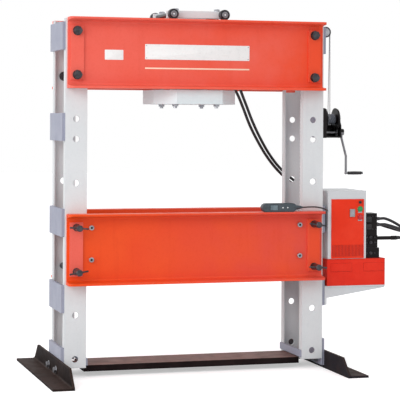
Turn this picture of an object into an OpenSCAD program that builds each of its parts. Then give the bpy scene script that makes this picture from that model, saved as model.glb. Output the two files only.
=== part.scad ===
// Electro-hydraulic H-frame press: two channel uprights, a fixed upper bolster with a rolling
// cylinder head, a height-adjustable bed on four lock pins, a hand winch and an electric pump.
// X runs to the right, Y to the back and Z up; the origin is on the floor under the frame's centre.

/* [Uprights] */
// Distance between the centre lines of the two uprights
upright_span = 1354; // [1250:1:1500]
// Width of an upright's face
upright_face = 120; // [116:1:130]
// Depth over the front and rear channels of an upright
frame_depth = 350; // [340:1:380]
// Flange length of an upright channel
upright_flange = 46; // [40:1:50]
// Web thickness of an upright channel
upright_web = 9; // [7:0.5:10]
// Height of the uprights' lower ends above the floor
upright_bottom = 56; // [50:1:62]
// Height of the uprights' upper ends above the floor
upright_top = 1936; // [1930:1:1938]
// Diameter of the pin and bolt holes in the uprights
hole_d = 35; // [30:0.5:36]
// Height of the lowest pin hole
hole_first_z = 104; // [96:1:112]
// Spacing of the pin holes
hole_pitch = 236.5; // [230:0.5:240]
// Number of pin holes below the spare hole
hole_rows = 6; // [5:1:6]
// Height of the spare hole, the lowest of the upper row
upper_hole_z = 1395.25; // [1392:0.25:1398]

/* [Tie plates] */
// Thickness of the plates that join the channels on the outer side
tie_t = 16; // [12:1:18]
// Height of a tie plate
tie_h = 150; // [140:1:154]
// Distance from the frame's faces to a tie plate's edges
tie_setback = 6; // [4:1:12]
// Thickness of the bar that joins the channels on the inner side
inner_bar_t = 10; // [8:1:12]
// Height of the inner bar
inner_bar_h = 38; // [30:1:44]

/* [Base and feet] */
// Gap between the base cross member and the flange tips of the uprights' channels
base_gap = 4; // [2:1:14]
// Height of the base cross member's section
base_h = 34; // [28:1:36]
// Height of the base cross member above the floor
base_bottom = 28; // [24:1:30]
// Wall of the base cross member
base_wall = 8; // [6:1:10]
// Length of a foot, front to back
foot_len = 1080; // [900:10:1200]
// Width of a foot's floor flange
foot_flange = 116; // [90:1:130]
// Height of a foot's upright leg
foot_leg = 100; // [92:1:110]
// Thickness of a foot
foot_t = 12; // [10:1:14]
// Length of the slope at each end of a foot's leg
foot_slope = 108; // [80:1:140]
// Diameter of the foot bolts
foot_bolt_d = 16; // [12:1:16]
// Distance between the two bolts of a foot
foot_bolt_pitch = 200; // [150:1:204]

/* [Bolsters] */
// Length of the upper bolster and of the bed
bolster_len = 1456; // [1430:1:1600]
// Height of the bolster channels
bolster_h = 381; // [360:1:390]
// Flange length of a bolster channel
bolster_flange = 86; // [70:1:100]
// Web thickness of a bolster channel
bolster_web = 10; // [8:0.5:14]
// Thickness of a bolster flange at its tip
flange_tip_t = 12; // [10:0.5:14]
// Thickness of a bolster flange at its root
flange_root_t = 19; // [16:0.5:22]
// Radius of the rounded corners at the ends of the bolster flanges
flange_corner = 20; // [10:1:30]
// Radius of the fillet between web and flange
flange_fillet = 12; // [8:1:14]
// Row of holes that carries the lower bed pins, counted from 0 at the bottom
bed_row = 2; // [1:1:2]
// Width of a bearing plate
bearing_w = 72; // [66:1:80]
// Height of a bearing plate
bearing_h = 290; // [280:1:300]
// Thickness of a bearing plate
bearing_t = 10; // [8:1:12]
// Distance from the frame's centre to the middle of an upper diaphragm
diaphragm_x = 604; // [596:1:606]
// Thickness of an upper diaphragm
diaphragm_t = 12; // [8:1:14]
// Outer diameter of a bed spacer tube
spacer_d = 27; // [22:1:30]
// Bore of a bed spacer tube
spacer_bore = 14; // [10:1:16]
// Distance from the frame's centre to a spacer tube
spacer_x = 594; // [590:1:601]
// Height of the upper spacer tubes above the bed's centre
spacer_high = 115; // [100:1:122]
// Depth of the lower spacer tubes below the bed's centre
spacer_low = 57; // [40:1:80]

/* [Bolts and pins] */
// Width across flats of the bolster bolts' heads
bolt_af = 42; // [40:1:55]
// Height of the bolster bolts' heads
bolt_head_h = 20; // [16:1:24]
// Radial clearance of bolts in their holes
bolt_clear = 0.5; // [0.2:0.1:1]
// Radial clearance of the lock pins in their holes
pin_clear = 0.08; // [0.03:0.01:0.1]
// Diameter of a lock pin's collar
pin_collar_d = 40; // [38:1:56]
// Distance from the bearing plate to the end of a lock pin's shank
pin_reach = 92; // [80:1:100]
// Diameter of a lock pin's cross handle
pin_bar_d = 9.5; // [8:0.5:14]
// Length of a lock pin's cross handle
pin_bar_len = 94; // [80:1:120]

/* [Carriage] */
// Diameter of a carriage wheel
wheel_d = 58; // [52:1:62]
// Width of a carriage wheel
wheel_w = 28; // [22:1:32]
// Distance between the two axles
wheel_base = 292; // [284:1:310]
// Diameter of an axle
axle_d = 24; // [20:1:26]
// Running clearance between a wheel and its axle
wheel_clear = 0.06; // [0.03:0.01:0.1]
// Height of a carriage bar
bar_h = 39; // [36:1:40]
// Thickness of a carriage bar
bar_t = 40; // [34:1:44]
// Distance between the hanger studs along the press
stud_pitch_x = 236; // [220:1:240]
// Distance between the hanger studs across the press
stud_pitch_y = 290; // [270:1:296]
// Diameter of a hanger stud
stud_d = 20; // [16:1:22]
// Width across flats of a hanger stud's nuts
stud_af = 30; // [28:1:32]
// Width of the head plate
plate_w = 470; // [440:1:480]
// Depth of the head plate
plate_depth = 440; // [410:1:460]
// Thickness of the head plate
plate_t = 78; // [60:1:90]
// Length of the head plate's corner cuts
plate_cut = 105; // [80:1:120]

/* [Cylinder] */
// Outer diameter of the cylinder
cyl_d = 190; // [170:1:196]
// Bore of the cylinder
cyl_bore = 140; // [120:1:150]
// Top of the cylinder above the floor
cyl_top = 1914; // [1900:1:1916]
// Diameter of the ram
ram_d = 90; // [70:1:100]
// Sliding clearance of the ram and its piston
ram_clear = 0.08; // [0.03:0.01:0.1]
// Length of the piston
piston_len = 44; // [30:1:50]
// Length of the gland that guides the ram
gland_len = 42; // [30:1:50]

/* [Bed lift] */
// Distance of the lifting ropes from the frame's centre plane
rope_y = -60; // [-64:1:-56]
// Diameter of the lifting ropes
rope_d = 6; // [4:0.5:7]
// Distance between the two ropes where they run side by side
rope_gap = 10; // [9:0.5:12]
// Outer diameter of a sheave
sheave_d = 62; // [56:1:64]
// Depth of a rope's centre line below a sheave's rim
sheave_groove = 4; // [4:0.5:5]
// Height of the sheave axes
sheave_z = 1896; // [1895:0.5:1899]
// Distance of the outer sheave's axis from the tie plate
outer_sheave_out = 38; // [36:1:44]
// Distance of the right rope's lower end from the frame's centre, inside the pin holes
rope_drop_right = 645; // [640:1:650]
// Distance of the left rope's lower end from the frame's centre, outside the pin holes
rope_drop_left = 709; // [706:1:712]

/* [Winch] */
// Height of the drum's axis
drum_z = 1400; // [1397:1:1403]
// Distance of the winch's axes behind the frame's centre plane, negative to the front
winch_y = -19; // [-22:1:-16]
// Distance from the tie plate to the drum's inner flange
drum_out = 51; // [48:1:56]
// Width of the drum between its flanges
drum_w = 64; // [50:1:68]
// Diameter of the drum's flanges
drum_flange_d = 128; // [112:1:130]
// Diameter of the wound rope on the drum
drum_wrap_d = 62; // [58:1:75]
// Module of the winch gears
gear_module = 3; // [2.9:0.05:3]
// Teeth of the drum gear
gear_teeth = 38; // [36:1:40]
// Teeth of the crank's pinion
pinion_teeth = 13; // [12:1:14]
// Width of the gears
gear_w = 9; // [7:1:10]
// Diameter of the crank's shaft
shaft_d = 16; // [14:1:18]
// Depth of the winch's side plates, front to back
winch_depth = 100; // [90:1:104]
// Thickness of the winch's side plates
winch_t = 5; // [4:0.5:6]
// Distance from the crank's axis to the grip's axis
crank_len = 232; // [200:1:260]
// Diameter of the crank's arm
crank_d = 13; // [10:1:14]
// Outward offset of the crank's arm
crank_offset = 28; // [20:1:40]
// Length of the crank's grip
grip_len = 88; // [80:1:110]
// Diameter of the crank's grip
grip_d = 20; // [18:1:30]

/* [Pump] */
// Thickness of the pump bracket's back plate
bracket_t = 12; // [8:1:14]
// Thickness of the pump bracket's other plates
bracket_plate_t = 8; // [6:1:10]
// Height of the pump bracket's shelf
shelf_z = 461; // [452:1:462]
// Width of the oil tank
tank_w = 351; // [320:1:360]
// Depth of the oil tank
tank_depth = 330; // [300:1:340]
// Height of the oil tank
tank_h = 148; // [130:1:170]
// Wall of the oil tank
tank_wall = 4; // [3:0.5:6]
// Width of the motor housing
housing_w = 231; // [220:1:240]
// Depth of the motor housing
housing_depth = 316; // [280:1:320]
// Height of the motor housing
housing_h = 384; // [380:1:400]
// Wall of the motor housing
housing_wall = 3; // [2:0.5:4]
// Width of the front panel
panel_w = 197; // [190:1:205]
// Height of the front panel
panel_h = 334; // [330:1:345]
// Width of the valve block
valve_w = 74; // [66:1:78]
// Height of the valve block
valve_h = 196; // [190:1:200]

/* [Pendant] */
// Length of the pendant's body
pendant_len = 200; // [180:1:220]
// Width of the pendant's body, from its lower to its upper edge
pendant_w = 48.5; // [44:0.5:54]
// Thickness of the pendant's body, back to front
pendant_h = 40; // [34:1:44]

/* [Hidden] */
$fn = 48;
eps = 0.05;

// Frame
front_y = -frame_depth / 2;
upright_x = upright_span / 2;
inner_x = upright_x - upright_face / 2;
outer_x = upright_x + upright_face / 2;
side_x = outer_x + tie_t;
lower_holes = [for (row = [0 : hole_rows - 1]) hole_first_z + row * hole_pitch];
upper_holes = [for (row = [0 : 2]) upper_hole_z + row * hole_pitch];
bolster_z = upper_hole_z + 1.5 * hole_pitch;
bed_z = hole_first_z + (bed_row + 0.5) * hole_pitch;
bolster_top = bolster_z + bolster_h / 2;
bolster_low = bolster_z - bolster_h / 2;
bed_top = bed_z + bolster_h / 2;
bearing_face = frame_depth / 2 + bolster_web + bearing_t;
rope_over_tie = 3;
tie_over_floor = 17;
// Middle heights of the tie plates: at the feet, the pump, the bed, the winch and the sheaves
tie_heights = [
    tie_over_floor + tie_h / 2, 428, 837, 1351,
    sheave_z + sheave_d / 2 - sheave_groove - rope_d / 2 - rope_over_tie - tie_h / 2
];

// Colours
light_grey = [0.80, 0.80, 0.82];
plate_grey = [0.60, 0.62, 0.68];
press_red = [0.90, 0.29, 0.18];
tank_red = [0.86, 0.20, 0.14];
foot_brown = [0.19, 0.15, 0.15];
steel = [0.55, 0.56, 0.58];
dark_steel = [0.27, 0.27, 0.29];
rubber_black = [0.08, 0.08, 0.09];

// ---- Shared shapes ----

function unit(v) = v / norm(v);
function hex_r(flats) = flats / 2 / cos(30);

// Round bar between two points
module bar_between(from, to, d) {
    v = to - from;
    translate(from)
        rotate([0, acos(v[2] / norm(v)), atan2(v[1], v[0])]) cylinder(d = d, h = norm(v));
}

// Cylinder along X or Y, centred on the origin
module x_rod(d, len) { rotate([0, 90, 0]) cylinder(d = d, h = len, center = true); }
module y_rod(d, len) { rotate([90, 0, 0]) cylinder(d = d, h = len, center = true); }

// Hexagonal head or nut standing on the XY plane, with its washer underneath
module hex_nut(flats, h, washer_t) {
    cylinder(d = flats * 1.22, h = washer_t);
    translate([0, 0, washer_t]) cylinder(r = hex_r(flats), h = h, $fn = 6);
}

// Rolled channel: its back lies on the Y axis and its flanges point along +X
module channel_section(depth, flange, web, tip, root, fillet) {
    slope = (root - tip) / (flange - web);
    secant = sqrt(1 + slope * slope);
    centre_x = web + fillet;
    centre_y = depth / 2 - root + slope * fillet - fillet * secant;
    toe = tip * 0.45;
    end_x = centre_x - fillet * slope / secant;
    difference() {
        translate([0, -depth / 2]) square([flange, depth]);
        difference() {
            polygon([
                [web, depth / 2 - root], [flange + 1, depth / 2 - tip + slope],
                [flange + 1, tip - slope - depth / 2], [web, root - depth / 2]
            ]);
            for (side = [-1, 1])
                mirror([0, side < 0 ? 1 : 0])
                    difference() {
                        polygon([
                            [web - 1, centre_y], [web - 1, depth / 2], [end_x, depth / 2],
                            [end_x, centre_y + fillet / secant], [centre_x, centre_y]
                        ]);
                        translate([centre_x, centre_y]) circle(fillet);
                    }
        }
        for (side = [-1, 1]) mirror([0, side < 0 ? 1 : 0]) toe_cut(flange, depth / 2 - tip, toe);
    }
}

// Rounds the inner corner of a flange's toe at (x, y)
module toe_cut(x, y, r) {
    translate([x - r, y])
        difference() {
            translate([0, -1]) square([r + 1, r + 1]);
            translate([0, r]) circle(r);
            translate([-1, r]) square([r + 1, 1]);
        }
}

// Tube swept through the points of a route, as one closed polyhedron
function tangents(q) = [
    for (i = [0 : len(q) - 1]) unit(q[min(i + 1, len(q) - 1)] - q[max(i - 1, 0)])
];
function carried(n, t) = unit(n - (n * t) * t);
function normals(t) = [
    for (i = 0, n = carried([0.37, 0.21, 0.9], t[0]); i < len(t);
        i = i + 1, n = i < len(t) ? carried(n, t[i]) : n) n
];
module swept_tube(q, d, sides) {
    t = tangents(q);
    n = normals(t);
    rings = len(q);
    skin = [
        for (i = [0 : rings - 1]) for (k = [0 : sides - 1])
            let (a = 360 * k / sides)
            q[i] + d / 2 * (cos(a) * n[i] + sin(a) * cross(t[i], n[i]))
    ];
    ends = [[for (k = [sides - 1 : -1 : 0]) k], [for (k = [0 : sides - 1]) (rings - 1) * sides + k]];
    walls = [
        for (i = [0 : rings - 2]) for (k = [0 : sides - 1])
            let (a = i * sides + k, b = i * sides + (k + 1) % sides)
            [a, b, b + sides, a + sides]
    ];
    triangles = [for (w = walls) for (f = [[w[0], w[1], w[2]], [w[0], w[2], w[3]]]) f];
    polyhedron(points = skin, faces = concat(ends, triangles));
}

// ---- Uprights, tie plates, base and feet ----

// One channel of an upright: side is -1 left or 1 right, end is -1 front or 1 rear
module upright_channel(side, end) {
    difference() {
        translate([side * upright_x, end * frame_depth / 2, upright_bottom])
            linear_extrude(upright_top - upright_bottom)
                rotate(-90 * end)
                    channel_section(upright_face, upright_flange, upright_web, 8, 11, 8);
        for (z = concat(lower_holes, upper_holes))
            translate([side * upright_x, end * (frame_depth / 2 - upright_web / 2), z])
                y_rod(hole_d, upright_web * 3);
    }
}

module left_upright() { color(light_grey) for (end = [-1, 1]) upright_channel(-1, end); }
module right_upright() { color(light_grey) for (end = [-1, 1]) upright_channel(1, end); }

// Tie plates of one side, with the inner bar above the base member
module tie_plates(side) {
    bar_depth = frame_depth - 2 * tie_setback;
    color(plate_grey) {
        difference() {
            for (i = [0 : len(tie_heights) - 1])
                let (winch_side = side > 0 && i == 3)
                translate([
                    side * (outer_x + tie_t / 2), 0,
                    winch_side ? (winch_floor_z + winch_top_z) / 2 : tie_heights[i]
                ])
                    cube([
                        tie_t, bar_depth, winch_side ? winch_top_z - winch_floor_z - 4 : tie_h
                    ], center = true);
            foot_bolt_holes(side);
        }
        translate([side * (inner_x - inner_bar_t / 2), 0, base_bottom + base_h + 6 + inner_bar_h / 2])
            cube([inner_bar_t, bar_depth, inner_bar_h], center = true);
    }
}

module left_tie_plates() { tie_plates(-1); }
module right_tie_plates() { tie_plates(1); }

base_depth = frame_depth - 2 * (upright_flange + base_gap);
tongue_w = base_depth * 0.48;
tongue_h = base_h * 0.65;
foot_bolt_z = base_bottom + (base_h - base_wall) / 2;
module foot_bolt_holes(side) {
    for (end = [-1, 1])
        translate([side * outer_x, end * foot_bolt_pitch / 2, foot_bolt_z])
            x_rod(foot_bolt_d + 2 * bolt_clear, 6 * tie_t);
}

// Pressed channel lying flat between the uprights. Past its closed ends a shallow,
// narrow tongue runs between the posts to the tie plate of each side
module base_member() {
    color(foot_brown)
        difference() {
            union() {
                base_section(2 * inner_x, base_depth, base_h, 0);
                base_section(2 * outer_x, tongue_w, tongue_h, 0);
            }
            base_section(2 * (inner_x - base_wall), base_depth, base_h, base_wall);
            for (side = [-1, 1])
                translate([side * (inner_x + outer_x) / 2, 0, 0])
                    base_section(outer_x - inner_x + 2, tongue_w, tongue_h, base_wall);
        }
}

// Bar hanging down from the base member's top, or the hollow inside its wall
module base_section(len, depth, h, wall) {
    skirt = wall > 0 ? 1 : 0;
    translate([-len / 2, -depth / 2 + wall, base_bottom + base_h - h - skirt])
        cube([len, depth - 2 * wall, h - wall + skirt]);
}

// Angle-section foot with sloped ends, its leg against the lowest tie plate
module foot(side) {
    color(foot_brown)
        difference() {
            translate([side * side_x, foot_len / 2, 0])
                mirror([side < 0 ? 1 : 0, 0, 0])
                    rotate([90, 0, 0]) linear_extrude(foot_len) foot_section();
            for (end = [-1, 1])
                mirror([0, end < 0 ? 1 : 0, 0])
                    translate([side * side_x - 2 * foot_t, foot_len / 2, foot_t])
                        rotate([90, 0, 90])
                            linear_extrude(4 * foot_t)
                                polygon([[1, 0], [1, foot_leg], [-foot_slope, foot_leg]]);
            foot_bolt_holes(side);
        }
}

module foot_section() {
    foot_fillet = 10;
    square([foot_flange, foot_t]);
    square([foot_t, foot_leg]);
    translate([foot_t, foot_t])
        difference() {
            square(foot_fillet);
            translate([foot_fillet, foot_fillet]) circle(foot_fillet);
        }
}

module left_foot() { foot(-1); }
module right_foot() { foot(1); }

// Bolts through foot and tie plate, with nuts on the inside beside the base's tongue
module foot_bolts() {
    grip = foot_t + tie_t;
    nut_h = foot_bolt_d * 0.8;
    color(dark_steel)
        for (side = [-1, 1]) for (end = [-1, 1])
            translate([side * (side_x + foot_t), end * foot_bolt_pitch / 2, foot_bolt_z])
                rotate([0, side * 90, 0]) rotate(30) {
                    hex_nut(foot_bolt_d * 1.8, nut_h, 3);
                    translate([0, 0, -grip - nut_h - 4])
                        cylinder(d = foot_bolt_d, h = grip + nut_h + 6);
                    translate([0, 0, -grip - nut_h])
                        cylinder(r = hex_r(foot_bolt_d * 1.5), h = nut_h, $fn = 6);
                }
}

// ---- Bolsters ----

// One channel of a bolster, its back against the uprights: end is -1 front or 1 rear
module bolster_channel(end, z) {
    translate([-bolster_len / 2, end * frame_depth / 2, z])
        mirror([0, end < 0 ? 1 : 0, 0])
            rotate([90, 0, 90])
                linear_extrude(bolster_len)
                    channel_section(
                        bolster_h, bolster_flange, bolster_web, flange_tip_t, flange_root_t,
                        flange_fillet
                    );
}

// What is cut away to round the ends of a bolster channel's flanges
module flange_corners(end, z) {
    for (side = [-1, 1])
        mirror([side < 0 ? 1 : 0, 0, 0]) mirror([0, end < 0 ? 1 : 0, 0])
            translate([
                bolster_len / 2 - flange_corner, frame_depth / 2 + bolster_flange - flange_corner,
                z - bolster_h / 2 - 1
            ])
                difference() {
                    cube([flange_corner + 1, flange_corner + 1, bolster_h + 2]);
                    translate([0, 0, -1]) cylinder(r = flange_corner, h = bolster_h + 4);
                }
}

// Bolt or pin holes through both webs of a bolster centred at height z
module bolster_holes(z) {
    for (side = [-1, 1]) for (row = [-1, 1])
        translate([side * upright_x, 0, z + row * hole_pitch / 2]) y_rod(hole_d, 2 * bearing_face + 2);
}

module upper_channel(end) {
    color(press_red)
        difference() {
            bolster_channel(end, bolster_z);
            bolster_holes(bolster_z);
            flange_corners(end, bolster_z);
        }
}

module upper_front_channel() { upper_channel(-1); }
module upper_rear_channel() { upper_channel(1); }

spacer_places = [
    for (side = [-1, 1]) for (dz = [spacer_high, -spacer_low]) [side * spacer_x, 0, bed_z + dz]
];
module bed_channel(end) {
    color(press_red)
        difference() {
            bolster_channel(end, bed_z);
            bolster_holes(bed_z);
            flange_corners(end, bed_z);
            for (place = spacer_places) translate(place) y_rod(spacer_d + 2 * eps, 2 * bearing_face);
        }
}

module bed_front_channel() { bed_channel(-1); }
module bed_rear_channel() { bed_channel(1); }

// Doubling plates on the webs where bolts and pins bear
module bearing_plates() {
    color(press_red)
        difference() {
            for (z = [bolster_z, bed_z]) for (side = [-1, 1]) for (end = [-1, 1])
                translate([side * upright_x, end * (bearing_face - bearing_t / 2), z])
                    cube([bearing_w, bearing_t, bearing_h], center = true);
            bolster_holes(bolster_z);
            bolster_holes(bed_z);
        }
}

// Plates between the upper channels beside the uprights, with a tab below the bolster
module upper_diaphragms() {
    plate_h = bolster_h - 70;
    tab_w = 120;
    tab_drop = 9;
    hole_w = 130;
    color(press_red)
        for (side = [-1, 1])
            translate([side * diaphragm_x - diaphragm_t / 2, 0, bolster_z])
                rotate([90, 0, 90])
                    linear_extrude(diaphragm_t)
                        difference() {
                            union() {
                                translate([-frame_depth / 2, -plate_h / 2 + 5])
                                    square([frame_depth, plate_h - 5]);
                                translate([-tab_w / 2, -bolster_h / 2 - tab_drop])
                                    square([tab_w, bolster_h / 2]);
                            }
                            circle(d = hole_w);
                        }
}

// Bolts that hold the upper channels to the uprights, and those through the bed's spacer tubes
spacer_end = frame_depth / 2 + bolster_web + 2;
module bolster_bolts() {
    washer_t = 4;
    nut_h = bolt_head_h * 0.9;
    shank_len = bearing_t + bolster_web + upright_web + 2 * washer_t + nut_h;
    color(dark_steel) {
        for (place = spacer_places)
            translate(place) {
                y_rod(spacer_bore - 2 * bolt_clear, 2 * spacer_end);
                for (end = [-1, 1])
                    translate([0, end * spacer_end, 0]) rotate([-90 * end, 0, 0])
                        hex_nut(spacer_bore * 1.5, 8, 3);
            }
        for (side = [-1, 1]) for (row = [-1, 1]) for (end = [-1, 1])
            translate([side * upright_x, end * bearing_face, bolster_z + row * hole_pitch / 2])
                rotate([-90 * end, 0, 0]) {
                    hex_nut(bolt_af, bolt_head_h, washer_t);
                    translate([0, 0, washer_t - shank_len])
                        cylinder(d = hole_d - 2 * bolt_clear, h = shank_len);
                    translate([0, 0, -bearing_t - bolster_web - upright_web])
                        mirror([0, 0, 1]) hex_nut(bolt_af, nut_h, washer_t);
                }
    }
}

// Tubes welded through both bed webs beside the uprights, and the lugs that the ropes lift
lug_hole_z = bed_z + hole_pitch / 2 + 41;
lug_t = 12;
module bed_spacers() {
    color(press_red) {
        for (place = spacer_places)
            translate(place)
                difference() {
                    y_rod(spacer_d, 2 * spacer_end);
                    y_rod(spacer_bore, 2 * spacer_end + 2);
                }
        for (side = [-1, 1])
            translate([0, side > 0 ? rope_y + rope_gap / 2 : rope_y - rope_gap / 2, 0])
                lifting_lug(side);
    }
}

// Lug on an upper spacer tube, reaching into the upright above the bed pin
module lifting_lug(side) {
    drop_x = side > 0 ? rope_drop_right : rope_drop_left;
    reach = drop_x - spacer_x;
    rise = lug_hole_z - bed_z - spacer_high;
    difference() {
        translate([side * spacer_x, lug_t / 2, bed_z + spacer_high])
            mirror([side < 0 ? 1 : 0, 0, 0])
                rotate([90, 0, 0])
                    linear_extrude(lug_t)
                        polygon([
                            [-20, -8], [8, -20], [16, rise - 16], [reach + 16, rise - 16],
                            [reach + 16, rise + 14], [0, rise + 14], [-20, rise - 12]
                        ]);
        translate([side * spacer_x, 0, bed_z + spacer_high]) y_rod(spacer_d + 2 * eps, 2 * lug_t);
        translate([side * drop_x, 0, lug_hole_z]) y_rod(2 * rope_d, 2 * lug_t);
    }
}

// ---- Lock pins ----

// Pin through both bed channels and both upright channels, with its handle turned by an angle
module lock_pin(side, row, turn) {
    shank_r = hole_d / 2 - pin_clear;
    collar_t = 8;
    tip = bearing_face + pin_reach;
    color(dark_steel)
        translate([side * upright_x, 0, bed_z + row * hole_pitch / 2])
            rotate([90, 0, 0]) {
                rotate_extrude()
                    polygon([
                        [0, -bearing_face - 20], [shank_r * 0.7, -bearing_face - 20],
                        [shank_r, -bearing_face - 12], [shank_r, bearing_face + 0.3],
                        [pin_collar_d / 2, bearing_face + 0.3],
                        [pin_collar_d / 2, bearing_face + collar_t],
                        [shank_r, bearing_face + collar_t], [shank_r, tip - 3], [shank_r - 3, tip],
                        [0, tip]
                    ]);
                translate([0, 0, tip - 20]) rotate([0, 0, turn]) {
                    x_rod(pin_bar_d, pin_bar_len);
                    for (end = [-1, 1])
                        translate([end * pin_bar_len / 2, 0, 0]) sphere(d = pin_bar_d * 1.15);
                }
            }
}

module pin_upper_left() { lock_pin(-1, 1, -5); }
module pin_upper_right() { lock_pin(1, 1, -8); }
module pin_lower_left() { lock_pin(-1, -1, 9); }
module pin_lower_right() { lock_pin(1, -1, -4); }

// ---- Carriage and cylinder ----

wheel_gap = 0.3;
axle_z = bolster_top + wheel_d / 2 + wheel_gap;
wheel_y = frame_depth / 2 + 3 + wheel_w / 2;
bar_low = axle_z - bar_h / 2 + 1;
bar_top = bar_low + bar_h;
plate_gap = 3;
plate_top = bolster_low - plate_gap;
plate_low = plate_top - plate_t;
gland_z = plate_top;
piston_z = cyl_top - 22 - piston_len;

// Two bars between the webs, joined by the axles that the wheels turn on
module carriage_frame() {
    bar_len = wheel_base + axle_d + 18;
    color(light_grey)
        for (end = [-1, 1])
            difference() {
                translate([0, end * stud_pitch_y / 2, bar_low + bar_h / 2])
                    cube([bar_len, bar_t, bar_h], center = true);
                for (side = [-1, 1]) {
                    translate([side * wheel_base / 2, end * stud_pitch_y / 2, axle_z])
                        y_rod(axle_d, bar_t + 2);
                    translate([side * stud_pitch_x / 2, end * stud_pitch_y / 2, bar_low - 1])
                        cylinder(d = stud_d + 2 * bolt_clear, h = bar_h + 2);
                }
            }
    color(steel)
        for (side = [-1, 1])
            translate([side * wheel_base / 2, 0, axle_z]) {
                y_rod(axle_d, 2 * wheel_y + wheel_w + 8);
                for (end = [-1, 1])
                    translate([0, end * (wheel_y + wheel_w / 2 + 3), 0]) y_rod(axle_d + 10, 4);
            }
}

// Wheel with a recessed outer face, bored for its axle
module carriage_wheel(side, end) {
    bore_r = axle_d / 2 + wheel_clear;
    color(dark_steel)
        translate([side * wheel_base / 2, end * wheel_y, axle_z])
            rotate([-90 * end, 0, 0])
                translate([0, 0, -wheel_w / 2])
                    rotate_extrude($fn = 64)
                        polygon([
                            [bore_r, 0], [wheel_d / 2 - 2, 0], [wheel_d / 2, 2],
                            [wheel_d / 2, wheel_w - 2], [wheel_d / 2 - 2, wheel_w],
                            [wheel_d / 2 - 5, wheel_w], [wheel_d / 2 - 7, wheel_w - 5],
                            [bore_r + 6, wheel_w - 5], [bore_r + 5, wheel_w], [bore_r, wheel_w]
                        ]);
}

module wheel_front_left() { carriage_wheel(-1, -1); }
module wheel_front_right() { carriage_wheel(1, -1); }
module wheel_rear_left() { carriage_wheel(-1, 1); }
module wheel_rear_right() { carriage_wheel(1, 1); }

stud_places = [
    for (side = [-1, 1]) for (end = [-1, 1]) [side * stud_pitch_x / 2, end * stud_pitch_y / 2, 0]
];

// Eight-sided plate that bears under both bolster channels
module head_plate() {
    w = plate_w / 2;
    d = plate_depth / 2;
    color(light_grey)
        difference() {
            translate([0, 0, plate_low])
                linear_extrude(plate_t)
                    polygon([
                        [-w, plate_cut - d], [plate_cut - w, -d], [w - plate_cut, -d],
                        [w, plate_cut - d], [w, d - plate_cut], [w - plate_cut, d],
                        [plate_cut - w, d], [-w, d - plate_cut]
                    ]);
            translate([0, 0, plate_low - 1]) cylinder(d = ram_d + 2, h = plate_t + 2);
            for (place = stud_places)
                translate(place + [0, 0, plate_low - 1])
                    cylinder(d = stud_d + 2 * bolt_clear, h = plate_t + 2);
        }
}

// Studs that hang the head plate from the carriage, with nuts at both ends
module hanger_studs() {
    nut_h = 10;
    washer_t = 2;
    tip = 10;
    color(steel)
        for (place = stud_places)
            translate(place) {
                translate([0, 0, plate_low - washer_t - nut_h - tip])
                    cylinder(d = stud_d, h = bar_top - plate_low + 2 * (washer_t + nut_h) + tip + 2);
                translate([0, 0, bar_top]) hex_nut(stud_af, nut_h, washer_t);
                translate([0, 0, plate_low]) mirror([0, 0, 1]) hex_nut(stud_af, nut_h, washer_t);
            }
}

// Cylinder barrel with a closed top, a foot flange and two port bosses
port_r = cyl_d / 2 + 6;
port_heights = [cyl_top - 34, gland_z + gland_len + 23.5];
module cylinder_body() {
    flange_h = 20;
    flange_d = cyl_d + 20;
    boss_d = 34;
    color(light_grey)
        difference() {
            union() {
                translate([0, 0, gland_z]) cylinder(d = cyl_d, h = cyl_top - gland_z, $fn = 96);
                translate([0, 0, gland_z]) cylinder(d = flange_d, h = flange_h, $fn = 96);
                for (z = port_heights) {
                    translate([port_r / 2, 0, z]) x_rod(boss_d, port_r);
                    translate([port_r, 0, z]) hose_fitting();
                }
            }
            translate([0, 0, gland_z - 1])
                cylinder(d = cyl_bore, h = piston_z + piston_len - gland_z + 3, $fn = 96);
            for (z = port_heights) translate([port_r / 2, 0, z]) x_rod(10, port_r);
        }
}

// Gland ring that closes the barrel's lower end and guides the ram
module cylinder_gland() {
    color(steel)
        translate([0, 0, gland_z])
            difference() {
                cylinder(d = cyl_bore - 2 * eps, h = gland_len, $fn = 96);
                translate([0, 0, -1])
                    cylinder(d = ram_d + 2 * ram_clear, h = gland_len + 2, $fn = 96);
            }
}

// Ram with its piston and the loose saddle screwed to its nose
module ram() {
    saddle_h = 12;
    nose_z = plate_low + 4;
    color(steel) {
        translate([0, 0, nose_z + saddle_h])
            cylinder(d = ram_d, h = piston_z - nose_z - saddle_h + 1, $fn = 96);
        translate([0, 0, piston_z])
            cylinder(d = cyl_bore - 2 * ram_clear, h = piston_len, $fn = 96);
        translate([0, 0, nose_z])
            cylinder(d1 = ram_d - 14, d2 = ram_d - 8, h = saddle_h, $fn = 96);
    }
}

// ---- Hydraulic hoses ----

hose_d = 15;
// Routes from the cylinder's ports, under the upper bolster, behind the right upright and round
// the back of the pump to its valve block
advance_route = [
    [141, 0, 1880], [172, 0, 1880], [222, 14, 1846], [264, 36, 1752], [288, 48, 1664],
    [322, 60, 1568], [364, 80, 1480], [408, 102, 1390], [466, 138, 1296], [540, 180, 1196],
    [624, 214, 1108], [730, 232, 1028], [850, 236, 962], [980, 228, 898], [1100, 204, 830],
    [1196, 176, 790], [1272, 120, 762], [1312, 40, 748], [1308, -30, 754], [1262, -92, 776],
    [1194, -114, 812], [1140, -116, 833], [1106, -116, 833]
];
retract_route = [
    [141, 0, 1622], [172, 0, 1622], [224, 12, 1608], [266, 30, 1582], [302, 50, 1540],
    [346, 74, 1458], [392, 102, 1368], [452, 138, 1276], [528, 180, 1178], [616, 212, 1088],
    [726, 234, 1004], [848, 250, 934], [982, 254, 876], [1106, 230, 826], [1204, 202, 788],
    [1292, 136, 760], [1336, 40, 742], [1328, -40, 742], [1274, -98, 758], [1200, -116, 783],
    [1140, -118, 799], [1106, -118, 799]
];
module advance_hose() { color(rubber_black) swept_tube(advance_route, hose_d, 8); }
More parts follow.
